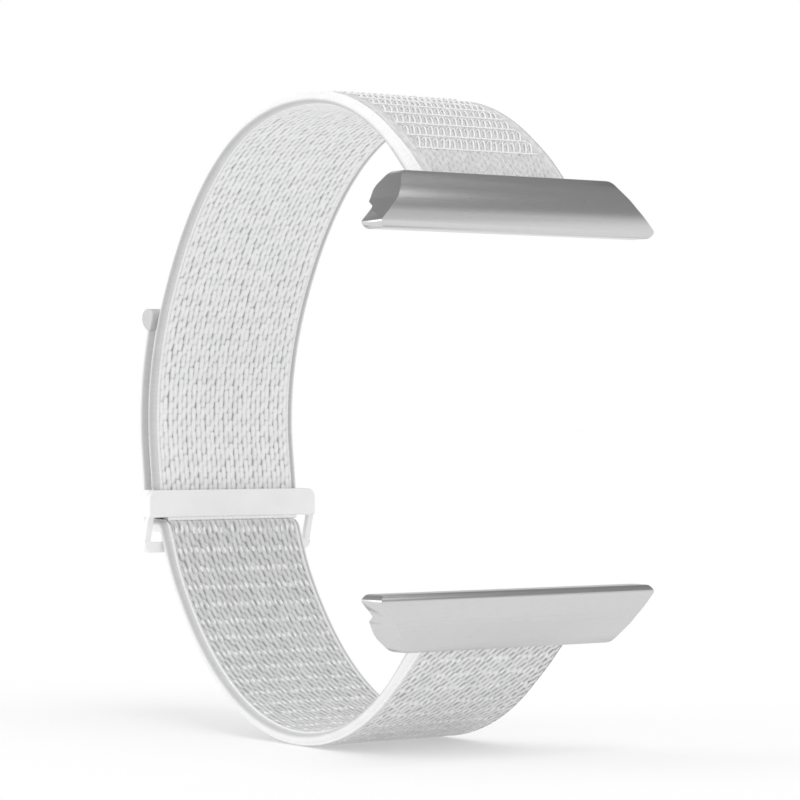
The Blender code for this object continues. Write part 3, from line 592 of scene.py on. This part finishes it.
def selvage(name, way, start, end, side, look):
    """The ribbed roll down one edge of the webbing, between its two piping cords. It's fullest
    towards the skin face. Its tone carries painted shade in the crease before the skin's cord,
    which is narrow at the far edge, painted shade on the far edge's outer side, and a painted
    highlight on the near edge's outer side."""
    skin = way["skin"]
    s = np.linspace(start, end, round((end - start) / (RIB_PITCH * MM / 4.5)) + 1)
    turn, along = np.meshgrid(np.sin(np.linspace(-1.0, 1.0, 21) * math.pi / 2.0), s)
    reach = half_thickness(along) - 0.03 * MM
    slant = along / MM / RIB_PITCH + 1.2 * turn * reach / MM / RIB_PITCH
    rib = 0.5 + 0.5 * np.cos(2.0 * math.pi * slant)
    crown = np.sqrt(np.clip(1.0 - turn**2, 0.0, 1.0))
    out = way["roll"] * crown * (1.0 + way["fullness"] * turn) + 0.026 * MM * rib * crown
    middle = (way["skin_half"] + OUTER_FACE_HALF) / 2.0
    edge = middle + (way["skin_half"] - middle) * turn
    free = np.clip((along - FREE_FROM) / (FREE_TO - FREE_FROM), 0.0, 1.0)
    free = free * np.clip((way["free_end"] - along) / MM, 0.0, 1.0)
    limit = ROLL_LIMIT + free * MM
    reached = np.minimum(edge + out, limit + ROLL_YIELD * (edge + out - limit))
    front = strap_points(way, side * reached, along, skin * turn * reach)
    flat = np.array((-1.0, 1.0))[None, :] * reach[:, :1]
    back = strap_points(way, side * (way["skin_half"] - ROLL_BACK), s[:, None], flat)
    place = np.stack([turn * reach / MM, along / MM, 0.5 + 0.0 * along], axis=2)
    # Painted light and shade on the roll: darker in the crease by the skin's cord, darker towards
    # the far edge's outer side, lighter towards the near edge's outer side
    if side < 0.0:
        painted_light_and_shade = 0.50 * bell(turn, 0.62, 0.40) - 0.16 * np.clip(0.3 - turn, 0.0, 1.0)
    else:
        painted_light_and_shade = 0.62 * bell(turn, 0.93, 0.13) + 0.45 * np.clip((-turn - 0.35) / 0.6, 0.0, 1.0)
    tone = (0.80 + 0.16 * rib) * (1.0 - painted_light_and_shade)
    return slab(name, front, back, look, place, tone)


def edge_cords(name, way, start, end, look):
    """Four cords that bind the edges of the webbing, each with a slight twist. Those beside the
    skin are the thicker ones. The far ones carry painted shade, and the far outer one is painted
    dark."""
    s = np.linspace(start, end, round((end - start) / CORD_STEP) + 1)
    yarns, tones = [], []
    for side in (-1.0, 1.0):
        for turn in (-1.0, 1.0):
            on_skin = turn == way["skin"]
            size = SKIN_CORD_RADIUS if on_skin else CORD_RADIUS
            face_half = way["skin_half"] if on_skin else OUTER_FACE_HALF
            u = side * (face_half + size - CORD_SINK)
            n = turn * (half_thickness(s) - size + CORD_RISE)
            radius = size * (1.0 + 0.06 * np.sin(s * 2.0 * math.pi / CORD_TWIST))
            yarns.append(yarn(way, u, s, n, radius, CORD_SIDES))
            # Painted shade: the far cords are darker than the near ones, the far outer one nearly
            # black
            far_painted_shade_tone = 0.80 if on_skin else 0.05
            tones.append(1.0 if side < 0.0 else far_painted_shade_tone)
    return bundle(name, yarns, look, tones)


def loop_rows(name, way, start, end, look):
    """Rows of standing loops on the outer face, each row behind a cord that crosses the strap.
    Every loop leans across the strap, with a stout limb and a fine hook at its top."""
    pitch = LOOP_PITCH * MM
    reach = LOOP_REACH * MM
    rows = int((end - start) / (ROW_PITCH * MM))
    sides, tint = 6, 0.6
    yarns = []
    for row in range(rows + 1):
        foot = start + row * ROW_PITCH * MM
        base = half_thickness(np.array(foot)) - 0.06 * MM
        u = np.linspace(-reach, reach, 145)
        wave = 0.035 * MM * np.sin(u / pitch * 2.0 * math.pi) + 0.02 * MM * np.sin(u / pitch * 2.9)
        yarns.append(yarn(way, u, foot + wave, base + 0.08 * MM, 0.10 * MM, sides, tint))
        if row == rows:
            break
        for i in range(LOOPS_PER_ROW):
            centre = (i + 0.5) * pitch - WEAVE_WIDTH * MM / 2.0
            if abs(centre) > reach:
                continue
            chance = float(scatter(float(i), float(row), 41.0))
            other = float(scatter(float(row), float(i), 43.0))
            centre += 0.10 * pitch * (chance - 0.5)
            rise = (1.30 + 0.20 * (other - 0.5)) * MM
            t = np.linspace(0.0, 1.0, 17)
            limb = np.clip(t / 0.6, 0.0, 1.0)
            turn = np.clip((t - 0.6) / 0.4, 0.0, 1.0) * math.pi * (0.95 + 0.15 * chance)
            bend = (0.15 + 0.03 * other) * MM
            lean = math.radians(22.0 + 8.0 * (chance - 0.5))
            up = 0.18 * MM + rise * limb + 1.5 * bend * np.sin(turn)
            sag = 0.5 * np.clip(turn - math.pi / 2.0, 0.0, None) * bend
            u = centre - 0.18 * MM + np.tan(lean) * (up - sag) - bend * (1.0 - np.cos(turn))
            s = foot + up - sag
            hump = np.sin(math.pi * np.clip(t * 1.1, 0.0, 1.0))
            n = base + (0.05 + (0.13 + 0.05 * other) * hump) * MM
            u = np.clip(u, -reach - 0.1 * MM, reach + 0.1 * MM)
            yarns.append(yarn(way, u, s, n, (0.112 - 0.066 * t**1.5) * MM, sides, tint))
    return bundle(name, yarns, look, 1.0)


def eye(name, pin, way, look):
    """The sewn end of the webbing that turns round the lug's pin."""
    slope = way["line"][8] - way["line"][0]
    heading = math.atan2(slope[1], slope[0])
    gap = math.radians(40.0)
    half_width = STRAP_WIDTH / 2.0 - 0.02 * MM
    u = np.linspace(-half_width, half_width, 179)
    outer = np.linspace(heading + gap, heading + 2.0 * math.pi - gap, 40)
    inner = np.linspace(heading + 2.0 * math.pi - gap, heading + gap, 16)
    across, turn = np.meshgrid(u, outer)
    along = turn * EYE_RADIUS
    height, tone, tint = twill_relief(across / MM, along / MM)
    radius = EYE_RADIUS - 0.16 * MM + height * MM
    outer_points = np.stack(
        [across, pin[0] + radius * np.cos(turn), pin[1] + radius * np.sin(turn)], axis=2
    )
    across_in, turn_in = np.meshgrid(u, inner)
    inner_points = np.stack([
        across_in,
        pin[0] + EYE_BORE_RADIUS * np.cos(turn_in),
        pin[1] + EYE_BORE_RADIUS * np.sin(turn_in),
    ], axis=2)
    rings = np.concatenate([outer_points, inner_points])
    around, columns = rings.shape[:2]
    faces = grid_faces(around, columns)
    last = (around - 1) * columns
    faces += [[last + j, last + j + 1, j + 1, j] for j in range(columns - 1)]
    faces.append([i * columns for i in range(around)])
    faces.append([i * columns + columns - 1 for i in range(around)][::-1])
    place = np.stack([across / MM, along / MM, tint], axis=2).reshape(-1, 3)
    rest = np.zeros((inner_points.shape[0] * columns, 3))
    tone = np.concatenate([tone.ravel(), rest[:, 0]])
    return solid(name, rings.reshape(-1, 3), faces, look, np.concatenate([place, rest]), tone)


# Materials

def new_material(name, color, roughness, metallic=0.0):
    made = bpy.data.materials.new(name)
    made.use_nodes = True
    shader = made.node_tree.nodes["Principled BSDF"]
    shader.inputs["Base Color"].default_value = (*color, 1.0)
    shader.inputs["Roughness"].default_value = roughness
    shader.inputs["Metallic"].default_value = metallic
    return made, made.node_tree.nodes, made.node_tree.links, shader


def add_node(nodes, kind, **values):
    made = nodes.new(kind)
    for key, value in values.items():
        setattr(made, key, value)
    return made


def noise(nodes, links, coordinates, scale, detail=3.0, roughness=0.5):
    texture = add_node(nodes, "ShaderNodeTexNoise")
    texture.inputs["Scale"].default_value = scale
    texture.inputs["Detail"].default_value = detail
    texture.inputs["Roughness"].default_value = roughness
    links.new(coordinates, texture.inputs["Vector"])
    return texture.outputs["Fac"]


def stretched(nodes, links, coordinates, scale):
    mapping = add_node(nodes, "ShaderNodeMapping")
    mapping.inputs["Scale"].default_value = scale
    links.new(coordinates, mapping.inputs["Vector"])
    return mapping.outputs["Vector"]


def color_ramp(nodes, links, value, stops):
    ramp = add_node(nodes, "ShaderNodeValToRGB")
    elements = ramp.color_ramp.elements
    while len(elements) < len(stops):
        elements.new(0.5)
    for element, (place, color) in zip(elements, stops):
        element.position = place
        element.color = (*color, 1.0)
    links.new(value, ramp.inputs["Fac"])
    return ramp.outputs["Color"]


def mixed(nodes, links, how, factor, first, second):
    mix = add_node(nodes, "ShaderNodeMix", data_type="RGBA", blend_type=how)
    sockets = (mix.inputs["Factor"], mix.inputs[6], mix.inputs[7])
    for value, socket in zip((factor, first, second), sockets):
        if isinstance(value, bpy.types.NodeSocket):
            links.new(value, socket)
        else:
            socket.default_value = value
    return mix.outputs[2]


def bump(nodes, links, shader, height, strength, distance):
    made = add_node(nodes, "ShaderNodeBump")
    made.inputs["Strength"].default_value = strength
    made.inputs["Distance"].default_value = distance
    links.new(height, made.inputs["Height"])
    links.new(made.outputs["Normal"], shader.inputs["Normal"])


def webbing_material(name, painted_hollow_shade, middle, crest, filament):
    """Nylon yarn: painted shade darkens its hollows, with fine filaments along the strands and a
    soft sheen.
    """
    made, nodes, links, shader = new_material(name, crest, 0.62)
    shader.inputs["Sheen Weight"].default_value = 0.25
    shader.inputs["Sheen Roughness"].default_value = 0.4
    shader.inputs["Specular IOR Level"].default_value = 0.35
    tone = add_node(nodes, "ShaderNodeAttribute", attribute_name="tone").outputs["Fac"]
    place = add_node(nodes, "ShaderNodeAttribute", attribute_name="strap_place").outputs["Vector"]
    yarn = color_ramp(nodes, links, tone, [(0.0, painted_hollow_shade), (0.5, middle), (0.9, crest)])
    fine = noise(nodes, links, stretched(nodes, links, place, filament), 1.0)
    shade = color_ramp(nodes, links, fine, [(0.3, (0.90, 0.90, 0.90)), (0.7, (1.0, 1.0, 1.0))])
    color = mixed(nodes, links, "MULTIPLY", 1.0, yarn, shade)
    broad = noise(nodes, links, place, 0.35, 2.0)
    drift = color_ramp(nodes, links, broad, [(0.3, (0.965, 0.965, 0.97)), (0.7, (1.0, 1.0, 1.0))])
    links.new(mixed(nodes, links, "MULTIPLY", 1.0, color, drift), shader.inputs["Base Color"])
    bump(nodes, links, shader, fine, 0.5, 0.03 * MM)
    return made


def plastic_material(name, color, roughness):
    """Moulded plastic: a hint of orange peel, and slightly uneven gloss."""
    made, nodes, links, shader = new_material(name, color, roughness)
    shader.inputs["Coat Weight"].default_value = 0.15
    shader.inputs["Coat Roughness"].default_value = 0.15
    shader.inputs["Subsurface Weight"].default_value = 0.08
    shader.inputs["Subsurface Radius"].default_value = (0.4, 0.4, 0.4)
    shader.inputs["Subsurface Scale"].default_value = 1.0 * MM
    place = add_node(nodes, "ShaderNodeTexCoord").outputs["Object"]
    peel = noise(nodes, links, place, 1400.0, 2.0)
    cloud = noise(nodes, links, place, 220.0, 2.0)
    pale = tuple(min(1.0, 1.02 * part) for part in color)
    dim = tuple(0.975 * part for part in color)
    shade = color_ramp(nodes, links, cloud, [(0.35, dim), (0.65, pale)])
    links.new(shade, shader.inputs["Base Color"])
    bump(nodes, links, shader, peel, 0.12, 0.02 * MM)
    return made


def metal_material(name, color, roughness, grain):
    """Satin metal: a fine blasted or drawn grain in its bump and its gloss."""
    made, nodes, links, shader = new_material(name, color, roughness, 1.0)
    place = add_node(nodes, "ShaderNodeTexCoord").outputs["Object"]
    drawn = noise(nodes, links, stretched(nodes, links, place, grain), 1.0, 4.0, 0.6)
    span = 0.06
    gloss = add_node(nodes, "ShaderNodeMapRange")
    gloss.inputs["To Min"].default_value = roughness - span
    gloss.inputs["To Max"].default_value = roughness + span
    links.new(drawn, gloss.inputs["Value"])
    links.new(gloss.outputs["Result"], shader.inputs["Roughness"])
    dim = tuple(0.95 * part for part in color)
    shade = color_ramp(nodes, links, drawn, [(0.3, dim), (0.7, color)])
    links.new(shade, shader.inputs["Base Color"])
    bump(nodes, links, shader, drawn, 0.08, 0.01 * MM)
    return made


def rubber_material(name, color):
    """Elastomer: matt, with a fine speck."""
    made, nodes, links, shader = new_material(name, color, 0.7)
    place = add_node(nodes, "ShaderNodeTexCoord").outputs["Object"]
    speck = noise(nodes, links, place, 2500.0)
    dim = tuple(0.8 * part for part in color)
    shade = color_ramp(nodes, links, speck, [(0.35, dim), (0.65, color)])
    links.new(shade, shader.inputs["Base Color"])
    bump(nodes, links, shader, speck, 0.3, 0.02 * MM)
    return made


WEBBING = webbing_material(
    "woven_nylon", (0.30, 0.30, 0.305), (0.76, 0.76, 0.765), (0.97, 0.97, 0.97), (9.0, 1.6, 0.0)
)
GROUND = webbing_material(
    "woven_ground", (0.40, 0.40, 0.405), (0.65, 0.65, 0.655), (0.88, 0.88, 0.88), (9.0, 2.2, 0.0)
)
SELVAGE = webbing_material(
    "ribbed_selvage", (0.30, 0.30, 0.305), (0.62, 0.62, 0.625), (0.93, 0.93, 0.93), (3.0, 7.0, 0.0)
)
LOOP_YARN = webbing_material(
    "loop_yarn", (0.42, 0.42, 0.43), (0.80, 0.80, 0.80), (0.96, 0.96, 0.96), (9.0, 9.0, 0.0)
)
HOOK_TAPE = webbing_material(
    "hook_tape_nylon", (0.40, 0.40, 0.41), (0.66, 0.66, 0.67), (0.82, 0.82, 0.82), (5.0, 5.0, 0.0)
)
BUCKLE_PLASTIC = plastic_material("white_moulding", (0.90, 0.90, 0.90), 0.36)
TAB_PLASTIC = plastic_material("grey_moulding", (0.56, 0.56, 0.56), 0.38)
LUG_METAL = metal_material("satin_aluminium", (0.66, 0.66, 0.665), 0.30, (900.0, 9000.0, 9000.0))
STEEL = metal_material("drawn_steel", (0.56, 0.56, 0.57), 0.28, (6000.0, 6000.0, 6000.0))
RUBBER = rubber_material("grey_elastomer", (0.34, 0.34, 0.35))


# Rigid pieces that keep the frame's shape

def smooth_copy(node, name, look):
    """A copy of a frame node with its facets joined, so that its round surfaces shade as round."""
    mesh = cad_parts[node].data.copy()
    mesh.name = name
    shape = bmesh.new()
    shape.from_mesh(mesh)
    bmesh.ops.remove_doubles(shape, verts=shape.verts, dist=WELD_DISTANCE)
    bmesh.ops.recalc_face_normals(shape, faces=shape.faces)
    shape.to_mesh(mesh)
    shape.free()
    if mesh.has_custom_normals:
        mesh.normals_split_custom_set([(0.0, 0.0, 0.0)] * len(mesh.loops))
        mesh.attributes.remove(mesh.attributes["custom_normal"])
    mesh.shade_smooth()
    mesh.set_sharp_from_angle(angle=FRAME_SHARP_ANGLE)
    obj = add_object(name, mesh, look)
    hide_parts(node)
    return obj


def apply_modifiers(obj):
    graph = bpy.context.evaluated_depsgraph_get()
    made = bpy.data.meshes.new_from_object(obj.evaluated_get(graph))
    obj.modifiers.clear()
    obj.data = made


def moulded_copy(node, name, look):
    """A frame node as a moulding: remeshed finely, with its edges eased as a mould leaves them."""
    obj = smooth_copy(node, name, look)
    remesh = obj.modifiers.new("remesh", "REMESH")
    remesh.mode = "VOXEL"
    remesh.voxel_size = BUCKLE_VOXEL
    ease = obj.modifiers.new("ease", "SMOOTH")
    ease.factor = 0.5
    ease.iterations = BUCKLE_EASE_ROUNDS
    apply_modifiers(obj)
    obj.data.shade_smooth()
    return obj


def build_rigid_pieces():
    buckle = moulded_copy("buckle_frame", "buckle_moulding", BUCKLE_PLASTIC)
    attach(buckle, "upper_band")
    for prefix in ("upper", "lower"):
        lug = smooth_copy(prefix + "_lug_body", prefix + "_lug_casting", LUG_METAL)
        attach(lug, prefix + "_lug")
        for part, look in (
            ("lug_pin", STEEL),
            ("latch_plunger", STEEL),
            ("latch_retainer", STEEL),
            ("latch_spring", STEEL),
            ("lug_pad_left", RUBBER),
            ("lug_pad_right", RUBBER),
        ):
            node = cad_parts[prefix + "_" + part]
            node.data.materials.clear()
            node.data.materials.append(look)


# Webbing pieces

def build_upper_strap():
    way = upper_route()
    start, end = WEBBING_START, way["length"]
    pieces = [
        face("upper_strap_skin_face", way, start, end, -1.0, chain_relief, WEBBING),
        face("upper_strap_ground", way, start, end, 1.0, ground_relief, GROUND),
        selvage("upper_strap_selvage_left", way, start, end, -1.0, SELVAGE),
        selvage("upper_strap_selvage_right", way, start, end, 1.0, SELVAGE),
        edge_cords("upper_strap_edge_cords", way, start, end, LOOP_YARN),
        loop_rows("upper_strap_loops", way, FIRST_ROW * MM, end - 0.4 * MM, LOOP_YARN),
        eye("upper_strap_eye", UPPER_PIN, way, WEBBING),
    ]
    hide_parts("upper_strap")
    for piece in pieces:
        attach(piece, "upper_band")


def build_lower_webbing():
    """The lower length and the tail are one webbing, parted inside the ring, where no joint bends
    it."""
    way = lower_route()
    start, ring, end = WEBBING_START, way["ring"], way["length"]
    lower = [
        face("lower_strap_skin_face", way, start, ring, 1.0, twill_relief, WEBBING),
        face("lower_strap_outer_face", way, start, ring, -1.0, slant_relief, WEBBING),
        selvage("lower_strap_selvage_left", way, start, ring, -1.0, SELVAGE),
        selvage("lower_strap_selvage_right", way, start, ring, 1.0, SELVAGE),
        edge_cords("lower_strap_edge_cords", way, start, ring, LOOP_YARN),
        eye("lower_strap_eye", LOWER_PIN, way, WEBBING),
    ]
    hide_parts("lower_strap", "threaded_strap")
    for piece in lower:
        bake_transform(piece)
    build_fringe()
    tail = [
        face("tail_inner_face", way, ring, end, 1.0, twill_relief, WEBBING),
        face("tail_outer_face", way, ring, end, -1.0, slant_relief, WEBBING),
        selvage("tail_selvage_left", way, ring, end, -1.0, SELVAGE),
        selvage("tail_selvage_right", way, ring, end, 1.0, SELVAGE),
        edge_cords("tail_edge_cords", way, ring, end, LOOP_YARN),
    ]
    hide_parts("tail_strap")
    for piece in tail:
        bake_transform(piece)
    build_end_bar(way)
    build_hook_patch(way)


def build_fringe():
    """The fold of yarn that the strap's pull presses against the lower edge of the plate."""
    half_width = LOWER_SKIN_HALF + 0.3 * MM
    x = np.linspace(-half_width, half_width, 217)
    twist = np.sin(x / MM * 2.0 * math.pi / STRAND_PITCH)
    place = (PLATE_FRONT + 0.22 * MM, PLATE_BOTTOM - 0.17 * MM)
    path = np.stack([x, np.full_like(x, place[0]), np.full_like(x, place[1])], axis=1)
    points, faces = tube(path, FOLD_RADIUS * (1.0 + 0.1 * twist), FOLD_SIDES)
    spots = tube_place(x, 0.0, 0.5, FOLD_SIDES)
    fold = solid("plate_edge_fold", points, faces, LOOP_YARN, spots, np.ones(len(points)))
    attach(fold, "upper_band")


def build_end_bar(way):
    """The bar moulded onto the end of the tail: flat towards the strap and round behind, with eased
    ends."""
    tip, skinward = on_route(way, np.array((way["length"],)))
    outward = -skinward[0]
    upward = np.array((outward[1], -outward[0])) * math.copysign(1.0, -outward[0])
    angles = np.linspace(0.0, 2.0 * math.pi, END_BAR_SIDES, endpoint=False)
    swing = np.cos(angles)
    off = np.where(swing > 0.0, END_BAR_BACK * swing, -END_BAR_FRONT * np.abs(swing) ** 0.4)
    rise = END_BAR_HALF * np.sin(angles)
    middle = (END_BAR_BACK - END_BAR_FRONT) / 2.0
    rings = []
    for side in (-1.0, 1.0):
        for turn in np.linspace(0.5 * math.pi, 0.0, 9)[:: int(-side)]:
            x = side * (STRAP_WIDTH / 2.0 - 0.05 * MM + END_BAR_EASE * math.sin(turn))
            size = 1.0 - 0.13 * (1.0 - math.cos(turn))
            flat = (middle + (off - middle) * size)[:, None] * outward
            flat = flat + (rise * size)[:, None] * upward
            centre = tip[0] + 0.15 * MM * upward
            rings.append(np.concatenate([np.full((END_BAR_SIDES, 1), x), centre + flat], axis=1))
    faces = tube_faces(len(rings), END_BAR_SIDES)
    bar = solid("tail_end_bar", np.concatenate(rings), faces, TAB_PLASTIC)
    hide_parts("tail_end_tab")
    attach(bar, "tail")


def build_hook_patch(way):
    """The sewn tape inside the tail, with rows of tiny hooks, and the stitches that hold it."""
    start = way["tail"] + HOOK_PATCH_START
    end = start + HOOK_PATCH_LENGTH
    half_width = HOOK_PATCH_WIDTH / 2.0
    s = np.linspace(start, end, 49)
    u = np.linspace(-half_width, half_width, 57)
    across, along = np.meshgrid(u, s)
    base = HALF_THICKNESS + 0.13 * MM
    ribs = 0.02 * MM * np.cos(across / MM * 2.0 * math.pi / 0.7)
    front = strap_points(way, across, along, base + ribs)
    ends = np.array((-half_width, half_width))[None, :]
    back = strap_points(way, ends, s[:, None], HALF_THICKNESS - 0.04 * MM)
    place = np.stack([across / MM, along / MM, 0.5 + 0.0 * across], axis=2)
    tape = slab("hook_tape", front, back, HOOK_TAPE, place, 0.6 + 0.0 * across)
    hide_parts("hook_patch")
    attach(tape, "tail")
    bend = 1.45 * math.pi * np.linspace(0.0, 1.0, 7)
    n = base + 0.13 * MM * np.sin(bend * 0.62)
    yarns = []
    for row in np.arange(start + 0.6 * MM, end - 0.5 * MM, HOOK_ROW_PITCH):
        for column in np.arange(-half_width + 0.6 * MM, half_width - 0.5 * MM, HOOK_COLUMN_PITCH):
            u = column + 0.10 * MM * (1.0 - np.cos(bend))
            yarns.append(yarn(way, u, row, n, 0.045 * MM, 4))
    hooks = bundle("hook_rows", yarns, HOOK_TAPE, 0.8)
    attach(hooks, "tail")
    build_stitches(way, start + 0.5 * MM, end - 0.5 * MM, half_width - 0.5 * MM)


def build_stitches(way, start, end, half_width):
    """A rectangle of lock stitches through the tail, which shows on its outer face."""
    spots = []
    for s in np.arange(start, end, STITCH_PITCH):
        spots += [(-half_width, s, 0.0, 1.0), (half_width, s, 0.0, 1.0)]
    for u in np.arange(-half_width + STITCH_PITCH, half_width, STITCH_PITCH):
        spots += [(u, start, 1.0, 0.0), (u, end, 1.0, 0.0)]
    t = np.linspace(-1.0, 1.0, 7)
    n = -(HALF_THICKNESS + 0.05 * MM - 0.12 * MM * t**4)
    yarns = [
        yarn(way, u + du * t * STITCH_REACH, s + ds * t * STITCH_REACH, n, 0.09 * MM, 6)
        for u, s, du, ds in spots
    ]
    thread = bundle("tail_stitches", yarns, LOOP_YARN, 1.0)
    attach(thread, "tail")


# Floor, light and camera

def build_floor(height):
    """A white table lit softly from within, with the object's shadow on it."""
    mesh = bpy.data.meshes.new("floor")
    corners = [(-1.0, -1.0), (1.0, -1.0), (1.0, 1.0), (-1.0, 1.0)]
    points = [(FLOOR_REACH * x, FLOOR_REACH * y, height) for x, y in corners]
    mesh.from_pydata(points, [], [(0, 1, 2, 3)])
    made, nodes, links, shader = new_material("pale_floor", (FLOOR_SHADE,) * 3, 0.9)
    shader.inputs["Specular IOR Level"].default_value = 0.0
    glow = add_node(nodes, "ShaderNodeEmission")
    glow.inputs["Color"].default_value = (1.0, 1.0, 1.0, 1.0)
    glow.inputs["Strength"].default_value = FLOOR_GLOW
    both = add_node(nodes, "ShaderNodeAddShader")
    links.new(shader.outputs["BSDF"], both.inputs[0])
    links.new(glow.outputs["Emission"], both.inputs[1])
    links.new(both.outputs["Shader"], nodes["Material Output"].inputs["Surface"])
    add_object("floor", mesh, made)


def seen_rays(nodes, links):
    """One for rays that see the backdrop, straight or in gloss, and none for those that light."""
    rays = add_node(nodes, "ShaderNodeLightPath")
    gloss = add_node(nodes, "ShaderNodeMath", operation="MAXIMUM")
    links.new(rays.outputs["Is Camera Ray"], gloss.inputs[0])
    links.new(rays.outputs["Is Glossy Ray"], gloss.inputs[1])
    clear = add_node(nodes, "ShaderNodeMath", operation="MAXIMUM")
    links.new(gloss.outputs["Value"], clear.inputs[0])
    links.new(rays.outputs["Is Transmission Ray"], clear.inputs[1])
    return clear.outputs["Value"]


def add_soft_sun(name, energy, azimuth, elevation):
    """A broad soft light from an azimuth, measured from +X towards +Y, and an elevation."""
    lamp = bpy.data.lights.new(name, "SUN")
    lamp.energy = energy
    lamp.angle = SUN_SPREAD
    sun = bpy.data.objects.new(name, lamp)
    away = Vector((
        math.cos(math.radians(azimuth)) * math.cos(math.radians(elevation)),
        math.sin(math.radians(azimuth)) * math.cos(math.radians(elevation)),
        math.sin(math.radians(elevation)),
    ))
    sun.rotation_euler = away.to_track_quat("Z", "Y").to_euler()
    bpy.context.scene.collection.objects.link(sun)


def build_light():
    """Plain soft light. What the camera and glossy surfaces see of the backdrop is white, and grey
    above it, as a studio's ceiling is."""
    world = bpy.data.worlds.new("studio")
    bpy.context.scene.world = world
    world.use_nodes = True
    nodes, links = world.node_tree.nodes, world.node_tree.links
    background = nodes["Background"]
    direction = add_node(nodes, "ShaderNodeTexCoord").outputs["Generated"]
    apart = add_node(nodes, "ShaderNodeSeparateXYZ")
    links.new(direction, apart.inputs["Vector"])
    backdrop = color_ramp(nodes, links, apart.outputs["Z"], [
        (BACKDROP_WHITE_TO, (1.0, 1.0, 1.0)),
        (CEILING_FROM, (CEILING_SHADE,) * 3),
    ])
    level = (ROOM_LEVEL, ROOM_LEVEL, ROOM_LEVEL, 1.0)
    seen = seen_rays(nodes, links)
    links.new(mixed(nodes, links, "MIX", seen, level, backdrop), background.inputs["Color"])
    background.inputs["Strength"].default_value = 1.0
    add_soft_sun("soft_front", 0.8, azimuth=268.0, elevation=58.0)
    add_soft_sun("soft_side", 0.9, azimuth=142.0, elevation=14.0)


def build_camera():
    """The photograph's camera, which looks level and is shifted to frame the strap."""
    data = bpy.data.cameras.new("camera")
    data.lens = CAMERA_LENS
    data.sensor_width = SENSOR_WIDTH
    data.shift_x, data.shift_y = CAMERA_SHIFT
    data.clip_start = 0.01
    camera = bpy.data.objects.new("camera", data)
    camera.location = CAMERA_PLACE
    camera.rotation_euler = (math.pi / 2.0, 0.0, -CAMERA_TURN)
    bpy.context.scene.collection.objects.link(camera)
    bpy.context.scene.camera = camera


build_camera()
build_light()
build_floor(cad_low[2] - FLOOR_GAP)
build_rigid_pieces()
build_upper_strap()
build_lower_webbing()
bpy.context.scene.view_settings.view_transform = "Standard"
